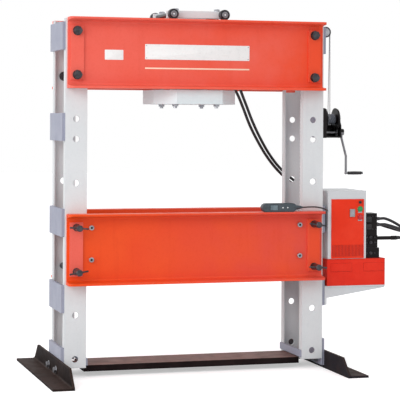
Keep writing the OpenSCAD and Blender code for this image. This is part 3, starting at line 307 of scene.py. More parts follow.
    def finish(
        self, colour: Socket, roughness: Socket, normal: Socket, **rest: float
    ) -> bpy.types.Material:
        """Feeds the shader.

        Args:
            colour: Its base colour.
            roughness: Its roughness.
            normal: Its normal.
            rest: Plain numbers for its other inputs, with underscores for spaces.

        Returns:
            The finished material.
        """
        self.feed(self.shader, Base_Color=colour, Roughness=roughness, Normal=normal, **rest)
        return self.material

    def soft_edges(self, radius: float) -> Socket:
        """Normal that rounds off sharp edges.

        Args:
            radius: The edge's radius in metres.

        Returns:
            The normal.
        """
        node = self.feed(self.add("ShaderNodeBevel", samples=4), Radius=radius)
        return node.outputs["Normal"]


@dataclass(frozen=True)
class Paint:
    """Sprayed paint: soft cloudiness, orange peel, painted top light, and worn and shaded edges.

    Where a far light tone is given, the paint fades to it from left to right, over the reach in
    metres on each side of the middle: a painted change of light across the press.
    """

    name: str
    colour: Colour
    pale: Colour
    deep: Colour
    # Edge tone: wear, and on the reds a painted highlight and on the tank a painted shade.
    worn_and_edge_shading: Colour
    far_light_tone: Colour | None = None
    cloud: float = 0.30
    roughness: float = 0.42
    peel: float = 0.00012
    edge: float = 0.0015
    # Pale tone for faces that look up: painted light from above, broken into patches.
    dust_and_top_light: Colour | None = None
    shine: float = 0.35
    reach: float = 0.7

    def build(self) -> bpy.types.Material:
        """Makes the material."""
        graph = Graph(self.name)
        base: object = self.colour
        # Fade from left to right to the far light tone: painted light falloff across the press.
        if self.far_light_tone is not None:
            along = graph.fit(graph.split(graph.coords, "X"), -self.reach, self.reach)
            base = graph.blend(along, self.colour, self.far_light_tone)
        cloud = graph.fit(graph.noise(self.cloud, 4, 0.55), 0.42, 0.72, (0, 0.7))
        fleck = graph.fit(graph.noise(0.012, 5, 0.7), 0.5, 0.8, (0, 0.3))
        runs = graph.fit(graph.noise(0.05, 4, 0.6, (1, 1, 0.12)), 0.55, 0.8, (0, 0.25))
        tint = graph.blend(cloud, base, self.pale)
        tint = graph.blend(fleck, tint, self.deep)
        tint = graph.blend(runs, tint, self.deep)
        # Pale tone on faces that look up: painted light from above, in patches.
        if self.dust_and_top_light is not None:
            tint = graph.blend(self._top_light_share(graph), tint, self.dust_and_top_light)
        # Edge tone: wear, a painted highlight on the reds and a painted shade on the tank.
        tint = graph.blend(self._rubbed_and_shaded_edges(graph), tint, self.worn_and_edge_shading)
        gloss = graph.gloss(graph.noise(0.09, 5, 0.6), self.roughness, 0.07, 0.1)
        waves = graph.bump(graph.noise(0.05, 2), 0.0006, 0.4, graph.soft_edges(self.edge))
        normal = graph.bump(graph.noise(0.0022, 2), self.peel, 0.8, waves)
        return graph.finish(tint, gloss, normal, IOR=1.46, Specular_IOR_Level=self.shine)

    def _top_light_share(self, graph: Graph) -> Socket:
        """How much painted top light lies: most on faces that look up, broken into patches.

        Args:
            graph: The material.

        Returns:
            The share.
        """
        normal = graph.add("ShaderNodeNewGeometry").outputs["Normal"]
        up = graph.fit(graph.split(normal, "Z"), 0.3, 0.9)
        patches = graph.fit(graph.noise(0.11, 5, 0.65), 0.3, 0.62, (0.55, 1.0))
        return graph.times(up, patches)

    def _rubbed_and_shaded_edges(self, graph: Graph) -> Socket:
        """Where edges take the worn tone, in broken stretches: wear, and on the reds a painted
        highlight and on the tank a painted shade.

        Args:
            graph: The material.

        Returns:
            The share.
        """
        flat = graph.add("ShaderNodeNewGeometry").outputs["Normal"]
        lean = graph.add("ShaderNodeVectorMath", operation="DOT_PRODUCT")
        graph.tree.links.new(graph.soft_edges(self.edge * 1.6), lean.inputs[0])
        graph.tree.links.new(flat, lean.inputs[1])
        edge = graph.fit(lean.outputs["Value"], 0.96, 0.80)
        broken = graph.fit(graph.noise(0.035, 5, 0.7), 0.42, 0.62, (0.15, 0.75))
        return graph.times(edge, broken)


@dataclass(frozen=True)
class Metal:
    """Turned or rolled steel: fine lines along one axis, stains and rounded edges."""

    name: str
    bright: Colour
    dull: Colour
    roughness: float = 0.35
    metallic: float = 1.0
    grain: Point = (1, 1, 12)
    edge: float = 0.0008

    def build(self) -> bpy.types.Material:
        """Makes the material."""
        graph = Graph(self.name)
        stain = graph.fit(graph.noise(0.025, 5, 0.65), 0.35, 0.7)
        lines = graph.noise(0.0016, 3, 0.6, self.grain)
        return graph.finish(
            graph.blend(stain, self.bright, self.dull),
            graph.gloss(lines, self.roughness, 0.08, 0.1),
            graph.bump(lines, 0.00005, 0.6, graph.soft_edges(self.edge)),
            Metallic=self.metallic,
        )


@dataclass(frozen=True)
class Moulding:
    """Moulded rubber or plastic: fine grain, dust in the grain and soft edges."""

    name: str
    colour: Colour
    dust_and_top_light: Colour
    roughness: float = 0.5
    grain: float = 0.0009
    relief: float = 0.00008
    coat: float = 0.0
    edge: float = 0.0008

    def build(self) -> bpy.types.Material:
        """Makes the material."""
        graph = Graph(self.name)
        grain = graph.noise(self.grain, 4, 0.6)
        dust_and_top_light = graph.fit(graph.noise(0.03, 5, 0.65), 0.45, 0.8, (0, 0.5))
        return graph.finish(
            graph.blend(dust_and_top_light, self.colour, self.dust_and_top_light),
            graph.gloss(graph.noise(0.02, 4), self.roughness, 0.06, 0.08),
            graph.bump(grain, self.relief, 0.7, graph.soft_edges(self.edge)),
            Coat_Weight=self.coat,
            Coat_Roughness=0.15,
        )


@dataclass(frozen=True)
class Cover:
    """Rubber cover of a hose or cord, with fine wrapping across its length."""

    name: str
    colour: Colour
    dust_and_top_light: Colour
    pitch: float = 0.004
    roughness: float = 0.4
    relief: float = 0.0002

    def build(self) -> bpy.types.Material:
        """Makes the material."""
        graph = Graph(self.name)
        bands = graph.wrapping(1.0, self.pitch, 1.0)
        dust_and_top_light = graph.fit(graph.noise(0.04, 5, 0.6), 0.5, 0.8, (0, 0.45))
        return graph.finish(
            graph.blend(dust_and_top_light, self.colour, self.dust_and_top_light),
            graph.gloss(graph.noise(0.03, 4), self.roughness, 0.08, 0.1),
            graph.bump(bands, self.relief, 0.35),
        )


@dataclass(frozen=True)
class WireRope:
    """Laid strands of a wire rope, slanting round its length."""

    name: str
    bright: Colour
    groove: Colour
    lay: float = 0.011

    def build(self) -> bpy.types.Material:
        """Makes the material."""
        graph = Graph(self.name)
        strand = graph.wrapping(6.0, self.lay, 0.33)
        return graph.finish(
            graph.blend(graph.fit(strand, 0.1, 0.6), self.groove, self.bright),
            graph.gloss(graph.noise(0.02, 4), 0.4, 0.1, 0.1),
            graph.bump(strand, 0.0006, 0.8),
            Metallic=0.3,
        )


class Finish(Enum):
    """The finishes of the press, each with what builds it."""

    GREY = Paint("grey_paint", (209, 212, 214), (217, 219, 221), (190, 192, 197), (150, 150, 156))
    HEAD = Paint("head_paint", (212, 222, 225), (218, 227, 230), (196, 204, 209), (150, 150, 156))
    CABINET = Paint(
        "cabinet_paint", (201, 204, 207), (208, 210, 213), (186, 188, 194), (150, 150, 156),
        cloud=0.2,
    )
    # The tie plates' dark blue-grey is partly their own paint and partly painted shade on their
    # left-facing sides.
    TIE = Paint(
        "tie_plate_paint", (146, 149, 166), (160, 163, 177), (128, 132, 150), (130, 130, 138),
    )
    # On the reds the fade to the far tone is painted light falloff from left to right, and the
    # pale pink edge tone is a painted highlight.
    RED = Paint(
        "red_paint", (229, 98, 83), (231, 104, 90), (212, 68, 48), (240, 170, 150), (231, 76, 42),
        shine=0.22,
    )
    BED = Paint(
        "bed_red_paint", (231, 73, 14), (233, 84, 36), (210, 58, 22), (240, 170, 150),
        (222, 80, 66), shine=0.22,
    )
    # The tank's wide dark edge tone is painted shade along its edges and embossed outlines.
    TANK = Paint(
        "tank_paint", (222, 42, 22), (230, 54, 34), (192, 30, 20), (120, 18, 12), None, 0.12,
        edge=0.0035, shine=0.22,
    )
    PANEL = Paint(
        "panel_paint", (228, 50, 20), (233, 62, 36), (204, 38, 20), (160, 26, 14), None, 0.12,
        shine=0.22,
    )
    # The base and the feet: the pale brown on faces that look up is painted light from above, the
    # near-black elsewhere is painted shade, and the feet also fade to a paler far tone, painted
    # light falloff.
    FOOT = Paint(
        "foot_paint", (24, 15, 16), (40, 30, 30), (10, 6, 7), (90, 80, 80), None, 0.16, 0.55,
        dust_and_top_light=(136, 108, 102), shine=0.08,
    )
    SHOE = Paint(
        "shoe_paint", (32, 24, 23), (52, 42, 40), (14, 9, 9), (100, 90, 86), (38, 35, 40), 0.16,
        0.6, dust_and_top_light=(60, 46, 42), shine=0.06,
    )
    BLACK = Paint(
        "black_paint", (12, 6, 7), (26, 20, 22), (5, 3, 4), (86, 84, 88), None, 0.06, 0.36,
        shine=0.25,
    )
    DARK = Metal("dark_steel", (86, 84, 88), (46, 44, 48), 0.38, 0.75)
    GREY_STEEL = Metal("grey_steel", (146, 146, 150), (104, 104, 109), 0.42, 0.75)
    BRIGHT = Metal("bright_steel", (190, 191, 196), (140, 142, 150), 0.3)
    RUBBER = Moulding("black_rubber", (26, 24, 27), (52, 48, 52), 0.42)
    HOSE = Cover("hose_cover", (22, 20, 24), (56, 52, 60), 0.004, 0.32)
    CORD = Cover("cord_cover", (24, 23, 26), (54, 50, 54), 0.009, 0.45, 0.0001)
    ROPE = WireRope("wire_rope", (214, 214, 216), (128, 128, 132))
    WOUND = WireRope("wound_rope", (136, 142, 152), (70, 74, 84))
    PLASTIC = Moulding("black_plastic", (24, 24, 26), (42, 42, 46), 0.4)
    GREEN = Moulding("green_plastic", (14, 146, 78), (30, 150, 90), 0.25, coat=0.4)
    STOP = Moulding("red_plastic", (190, 20, 34), (170, 34, 44), 0.25, coat=0.4)
    # Deep red for the sheet behind the vent slots: painted shade inside the slots.
    SCREEN = Moulding("vent_shade_red", (176, 40, 34), (150, 34, 32), 0.6)
    PENDANT = Moulding("pendant_plastic", (56, 66, 73), (88, 98, 104), 0.45)
    ROCKER = Moulding("rocker_plastic", (104, 120, 128), (130, 142, 148), 0.4)
    METER = Moulding("meter_grey", (150, 146, 144), (170, 166, 164), 0.35)
    LABEL = Moulding("label_white", (236, 238, 237), (222, 226, 225), 0.3, 0.002)
    STRIPE = Moulding("label_cream", (246, 214, 190), (240, 196, 172), 0.35, 0.002)

    def material(self) -> bpy.types.Material:
        """The finish's material, built the first time it is asked for."""
        name = "press_" + self.value.name
        found = bpy.data.materials.get(name)
        if found is None:
            found = self.value.build()
            found.name = name
        return found

    def slot(self) -> str:
        """The record's slot that the finish belongs to."""
        return SHARED_SLOTS.get(self.name, self.value.name)


SHARED_SLOTS = {
    **dict.fromkeys(("BED", "TANK", "PANEL", "STRIPE", "SCREEN"), "red_paint"),
    **dict.fromkeys(("CABINET", "HEAD", "LABEL"), "grey_paint"),
    **dict.fromkeys(("HOSE", "CORD"), "black_rubber"),
    **dict.fromkeys(("ROPE", "WOUND"), "bright_steel"),
    "SHOE": "foot_paint", "GREY_STEEL": "dark_steel", "METER": "black_plastic",
    "ROCKER": "pendant_plastic",
}

NODE_FINISHES: dict[Finish, tuple[str, ...]] = {
    Finish.GREY: ("left_upright", "right_upright"),
    Finish.HEAD: ("carriage_frame", "head_plate", "cylinder_body"),
    Finish.CABINET: ("pump_bracket", "motor_housing"),
    Finish.TIE: ("left_tie_plates", "right_tie_plates"),
    Finish.RED: (
        "upper_front_channel", "upper_rear_channel", "upper_diaphragms", "bearing_plates",
    ),
    Finish.BED: ("bed_front_channel", "bed_rear_channel", "bed_spacers"),
    Finish.TANK: ("oil_tank",),
    Finish.PANEL: ("front_panel",),
    Finish.FOOT: ("base_member",),
    Finish.SHOE: ("left_foot", "right_foot"),
    Finish.BLACK: ("valve_block", "pump_motor", "winch_frame", "winch_drum"),
    Finish.DARK: (
        "bolster_bolts", "pin_upper_left", "pin_upper_right", "pin_lower_left", "pin_lower_right",
        "wheel_front_left", "wheel_front_right", "wheel_rear_left", "wheel_rear_right",
        "outer_sheave", "right_sheave", "left_sheave", "key_switch", "hose_fittings",
    ),
    Finish.GREY_STEEL: ("winch_crank", "foot_bolts"),
    Finish.BRIGHT: (
        "hanger_studs", "cylinder_gland", "ram", "lifting_ropes", "drum_rope",
        "panel_trim", "lift_fittings",
    ),
    Finish.RUBBER: (
        "advance_hose", "retract_hose", "power_cable", "cable_coil", "power_plug",
        "pendant_cord", "crank_grip",
    ),
    Finish.PLASTIC: ("relief_knob",),
    Finish.GREEN: ("start_button",),
    Finish.STOP: ("stop_button",),
    Finish.PENDANT: ("pendant_body",),
    Finish.ROCKER: ("pendant_rocker",),
}


def paint_nodes() -> None:
    """Gives every carried-over node its finish."""
    for finish, names in NODE_FINISHES.items():
        for name in names:
            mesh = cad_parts[name].data
            mesh.materials.clear()
            mesh.materials.append(finish.material())


class Bench:
    """Modelling steps that the sub-assemblies share. Each makes one piece, placed in its mesh."""

    @staticmethod
    def hold(*pieces: Piece) -> None:
        """Leaves edit mode and selects these pieces and nothing else.

        Args:
            pieces: The pieces; the first becomes the active one.
        """
        if bpy.context.object is not None and bpy.context.object.mode != "OBJECT":
            bpy.ops.object.mode_set(mode="OBJECT")
        bpy.ops.object.select_all(action="DESELECT")
        for piece in pieces:
            piece.select_set(True)
        if pieces:
            bpy.context.view_layer.objects.active = pieces[0]

    @staticmethod
    def settle(piece: Piece, place: Matrix) -> Piece:
        """Puts a piece in its place and moves that place into its mesh.

        Args:
            piece: The piece.
            place: Where it goes, in metres.

        Returns:
            The same piece, at the origin.
        """
        Bench.hold(piece)
        bpy.ops.object.transform_apply(location=True, rotation=True, scale=True)
        piece.data.transform(place)
        return piece

    @staticmethod
    def aim(place: Sequence[float], axis: str) -> Matrix:
        """Place that lays a piece's own upward axis along one of the frame's.

        Args:
            place: The piece's foot in millimetres.
            axis: "+X", "-X", "+Y" or "-Y".

        Returns:
            The matrix in metres.
        """
        sign = 1 if axis[0] == "+" else -1
        way = Vector([sign * (axis[1] == letter) for letter in "XYZ"])
        lean = Vector((0, 0, 1)).rotation_difference(way).to_matrix().to_4x4()
        return Matrix.Translation(Vector(place) * MM) @ lean

    @staticmethod
    def facing(x: float, y: float, z: float, letter: str, sign: int) -> Matrix:
        """Place at a point in millimetres, aimed up an axis where sign is 1 and down it at -1."""
        return Bench.aim((x, y, z), ("+" if sign > 0 else "-") + letter)

    @staticmethod
    def on_front(y: float, spots: Iterable[Pair]) -> list[Matrix]:
        """Places on a face that looks forwards, each pointing out of it.

        Args:
            y: Where the face lies, in millimetres.
            spots: Each place's distance to the right and its height.

        Returns:
            The places.
        """
        return [Bench.aim((x, y, z), "-Y") for x, z in spots]

    @staticmethod
    def on_ends(xs: Iterable[float], reach: float, zs: Iterable[float]) -> list[Matrix]:
        """Places on the front and rear ends of bars that run from front to rear.

        Args:
            xs: The bars' distances to the right, in millimetres.
            reach: How far each end lies from the middle.
            zs: The bars' heights.

        Returns:
            The places, each pointing outwards.
        """
        return [
            Bench.facing(x, end * reach, z, "Y", end) for x, z, end in product(xs, zs, (-1, 1))
        ]

    @staticmethod
    def turned(name: str, place: Matrix, profile: Profile, sides: int = 40) -> Piece:
        """Solid built up along its axis by extruding and scaling its end face.

        Args:
            name: The piece's name.
            place: Where its foot stands and which way it points.
            profile: Height and radius of each step in millimetres, from the foot up.
            sides: How many sides it has; 6 makes a nut.

        Returns:
            The piece.
        """
        Bench.hold()
        height, radius = profile[0]
        bpy.ops.mesh.primitive_circle_add(
            vertices=sides, radius=radius * MM, fill_type="NGON", location=(0, 0, height * MM)
        )
        piece = bpy.context.object
        piece.name = name
        bpy.ops.object.mode_set(mode="EDIT")
        bpy.ops.mesh.select_all(action="SELECT")
        for next_height, next_radius in profile[1:]:
            rise = (next_height - height) * MM
            bpy.ops.mesh.extrude_region_move(TRANSFORM_OT_translate={"value": (0, 0, rise)})
            share = next_radius / radius
            bpy.ops.transform.resize(
                value=(share, share, 1), center_override=(0, 0, next_height * MM)
            )
            height, radius = next_height, next_radius
        bpy.ops.mesh.select_all(action="SELECT")
        bpy.ops.mesh.normals_make_consistent(inside=False)
        bpy.ops.object.mode_set(mode="OBJECT")
        return Bench.settle(piece, place)

    @staticmethod
    def copies(name: str, places: Iterable[Matrix], profile: Profile, sides: int = 40) -> Piece:
        """Models a turned solid once and copies it to every place, as one piece.

        Args:
            name: The piece's name.
            places: Where each copy's foot stands and which way it points.
            profile: Height and radius of each step in millimetres, from the foot up.
            sides: How many sides it has; 6 makes a nut.

        Returns:
            The piece.
        """
        first = Bench.turned(name, Matrix(), profile, sides)
        pieces = []
        for place in places:
            piece = first.copy()
            piece.data = first.data.copy()
            piece.data.transform(place)
            bpy.context.scene.collection.objects.link(piece)
            pieces.append(piece)
        bpy.data.objects.remove(first)
        return Bench.join(name, pieces)

    @staticmethod
    def block(
        name: str, low: Sequence[float], high: Sequence[float], edge: float, corner: float = 0.0
    ) -> Piece:
        """Block or plate with rounded edges.

        Args:
            name: The piece's name.
            low: Its lowest corner in millimetres.
            high: Its highest corner in millimetres.
            edge: Radius of its edges in millimetres.
            corner: Radius of the corners of its outline, as seen from the front, or 0.

        Returns:
            The piece.
        """
        Bench.hold()
        centre = (Vector(low) + Vector(high)) / 2 * MM
        bpy.ops.mesh.primitive_cube_add(size=1, location=centre)
        piece = bpy.context.object
        piece.name = name
        piece.scale = (Vector(high) - Vector(low)) * MM
        Bench.settle(piece, Matrix())
        if corner:
            Bench.pick_edges(piece, lambda a, b: abs((b - a).normalized().y) > 0.99)
            bpy.ops.object.mode_set(mode="EDIT")
            bpy.ops.mesh.bevel(offset=corner * MM, segments=CORNER_STEPS, affect="EDGES")
            bpy.ops.object.mode_set(mode="OBJECT")
        Bench.round_edges(piece, edge)
        return piece

    @staticmethod
    def unpick(piece: Piece) -> None:
        """Makes a piece active, with none of its points, edges and faces selected.

        Args:
            piece: The piece, in object mode.
        """
        mesh = piece.data
        for group in (mesh.vertices, mesh.edges, mesh.polygons):
            group.foreach_set("select", [False] * len(group))
        bpy.context.view_layer.objects.active = piece

    @staticmethod
    def pick_edges(piece: Piece, wanted: Callable[[Vector, Vector], bool]) -> None:
        """Selects the edges that a test accepts and nothing else.

        Args:
            piece: The piece, in object mode.
            wanted: Takes an edge's two ends in metres.
        """
        Bench.unpick(piece)
        mesh = piece.data
        for edge in mesh.edges:
            first, second = (mesh.vertices[i] for i in edge.vertices)
            if wanted(first.co, second.co):
                edge.select = first.select = second.select = True
        bpy.ops.object.mode_set(mode="EDIT")
        bpy.ops.mesh.select_mode(type="EDGE")
        bpy.ops.object.mode_set(mode="OBJECT")

    @staticmethod
    def round_edges(piece: Piece, radius: float) -> None:
        """Bevels a piece's sharp edges.

        Args:
            piece: The piece.
            radius: The bevel's width in millimetres.
        """
        bevel = piece.modifiers.new("edges", "BEVEL")
        bevel.width = radius * MM
        bevel.segments = EDGE_STEPS
        bevel.limit_method = "ANGLE"
        bevel.angle_limit = math.radians(SHARP_OVER)
        bpy.context.view_layer.objects.active = piece
        bpy.ops.object.modifier_apply(modifier=bevel.name)

    @staticmethod
    def join(name: str, pieces: Sequence[Piece]) -> Piece:
        """Joins pieces of one finish into one.

        Args:
            name: The name of the whole.
            pieces: The pieces.

        Returns:
            The whole.
        """
        Bench.hold(*pieces)
        if len(pieces) > 1:
            bpy.ops.object.join()
        pieces[0].name = name
        return pieces[0]

    @staticmethod
    def seat(piece: Piece, finish: Finish, body: str = "frame", *nodes: str) -> Piece:
        """Gives a piece its finish, its body and the nodes that it stands for.

        Args:
            piece: The piece.
            finish: Its finish.
            body: The body that it moves with, or "" for none.
            nodes: Nodes that it replaces.

        Returns:
            The same piece.
        """
        piece.data.materials.clear()
        piece.data.materials.append(finish.material())
        Bench.hold(piece)
        bpy.ops.object.shade_smooth_by_angle(angle=math.radians(SMOOTH_UNDER))
        if body:
            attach(piece, body)
        if nodes:
            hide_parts(*nodes)
        LOG.info("%s: %d faces", piece.name, len(piece.data.polygons))
        return piece


class Tube:
    """Round tube swept along a line, with its length in metres along its own map."""

    chart = "along"

    @staticmethod
    def smooth(points: Sequence[Vector], steps: int = 6) -> list[Vector]:
        """Smooth line through points.

        Args:
            points: The points.
            steps: How many short steps replace each span.

        Returns:
            The finer line, which still passes through every point.
        """
        line = [2 * points[0] - points[1], *points, 2 * points[-1] - points[-2]]
        out: list[Vector] = []
        for before, start, end, after in zip(line, line[1:], line[2:], line[3:]):
            reach = (end - start).length
            lead = (end - before) * (reach / ((start - before).length + reach))
            trail = (after - start) * (reach / ((after - end).length + reach))
            for i in range(steps):
                t = i / steps
                out.append(
                    start * (2 * t**3 - 3 * t**2 + 1) + lead * (t**3 - 2 * t**2 + t)
                    + end * (3 * t**2 - 2 * t**3) + trail * (t**3 - t**2)
                )
        return [*out, points[-1].copy()]

    @staticmethod
    def length(line: Sequence[Vector]) -> float:
        """Length of a line in metres."""
        return sum((b - a).length for a, b in zip(line, line[1:]))

    @staticmethod
    def corners(line: Sequence[Vector], radii: Sequence[float], sides: int) -> list[Vector]:
        """Points of the tube's wall, ring by ring, with no twist from one to the next.

        Args:
            line: The centre line in metres.
            radii: The radius at each of its points in millimetres.
            sides: How many points each ring has.

        Returns:
            The points.
        """
        ways = [
            (line[min(i + 1, len(line) - 1)] - line[max(i - 1, 0)]).normalized()
            for i in range(len(line))
        ]
        side = ways[0].orthogonal().normalized()
        out: list[Vector] = []
        for place, way, r in zip(line, ways, radii):
            side = (side - way * side.dot(way)).normalized()
            across = way.cross(side)
            for k in range(sides):
                turn = math.tau * k / sides
                out.append(place + (side * math.cos(turn) + across * math.sin(turn)) * r * MM)
        return out

    @staticmethod
    def map_along(mesh: bpy.types.Mesh, line: Sequence[Vector], sides: int) -> None:
        """Gives a tube its map: once round across it, and metres of line along it.

        Args:
            mesh: The tube's mesh.
            line: Its centre line in metres.
            sides: How many points each ring has.
        """
        run = [0.0]
        for a, b in zip(line, line[1:]):
            run.append(run[-1] + (b - a).length)
        chart = mesh.uv_layers.new(name=Tube.chart)
        for face in mesh.polygons:
            places = {index % sides for index in face.vertices}
            wraps = len(face.vertices) == 4 and {0, sides - 1} <= places
            for corner in face.loop_indices:
                ring, around = divmod(mesh.loops[corner].vertex_index, sides)
                if wraps and around == 0:
                    around = sides
                chart.data[corner].uv = (around / sides, run[ring])

    @staticmethod
    def make(
        name: str, line: Sequence[Vector], radius: float | Sequence[float], sides: int
    ) -> Piece:
        """Sweeps a closed tube.

        Args:
            name: The piece's name.
            line: Its centre line in metres.
            radius: Its radius in millimetres, or one for each point.
            sides: How many sides it has.

        Returns:
            The tube.
        """
        radii = [radius] * len(line) if isinstance(radius, (int, float)) else list(radius)
        walls = []
        for foot in range(0, (len(line) - 1) * sides, sides):
            for k in range(sides):
                after = (k + 1) % sides
                walls.append((foot + k, foot + after, foot + sides + after, foot + sides + k))
        last = (len(line) - 1) * sides
        caps = [tuple(range(sides))[::-1], tuple(range(last, last + sides))]
        mesh = bpy.data.meshes.new(name)
        mesh.from_pydata(Tube.corners(line, radii, sides), [], [*walls, *caps])
        Tube.map_along(mesh, line, sides)
        piece = bpy.data.objects.new(name, mesh)
        bpy.context.scene.collection.objects.link(piece)
        return piece


@dataclass
class HydraulicHoses:
    """The two hoses from the rolling cylinder to the valve block.

    moves_to and still_from, the places along X up to which the hoses would move with the head and
    from which they would lie still, are not used.
    """

    diameter: float = 16.4
    advance: tuple[Point, ...] = (
        (141, 0, 1880), (172, 0, 1880), (222, 14, 1846), (264, 36, 1752), (288, 48, 1664),
        (322, 60, 1568), (364, 80, 1480), (408, 102, 1390), (466, 138, 1296), (540, 180, 1196),
        (624, 214, 1108), (730, 232, 1028), (850, 236, 962), (980, 228, 898), (1100, 204, 830),
        (1196, 176, 790), (1272, 120, 762), (1312, 40, 748), (1308, -30, 754),
        (1262, -92, 776), (1194, -114, 812), (1140, -116, 833), (1106, -116, 833),
    )
    retract: tuple[Point, ...] = (
        (141, 0, 1622), (172, 0, 1622), (224, 12, 1608), (266, 30, 1582), (302, 50, 1540),
        (346, 74, 1458), (392, 102, 1368), (452, 138, 1276), (528, 180, 1178),
        (616, 212, 1088), (726, 234, 1004), (848, 250, 934), (982, 254, 876),
        (1106, 230, 826), (1204, 202, 788), (1292, 136, 760), (1336, 40, 742),
        (1328, -40, 742), (1274, -98, 758), (1200, -116, 783), (1140, -118, 799),
        (1106, -118, 799),
    )
    moves_to: float = 0.172
    still_from: float = 1.05

    def build(self) -> None:
        """Makes both hoses."""
        for name, route in (("advance_hose", self.advance), ("retract_hose", self.retract)):
            line = Tube.smooth(metres(route))
            piece = Tube.make(name + "_dressed", line, self.diameter / 2, 20)
            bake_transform(piece)
            Bench.seat(piece, Finish.HOSE, "", name)
            Tube.length(line)
            LOG.info("%s is %.2f m long", name, Tube.length(line))


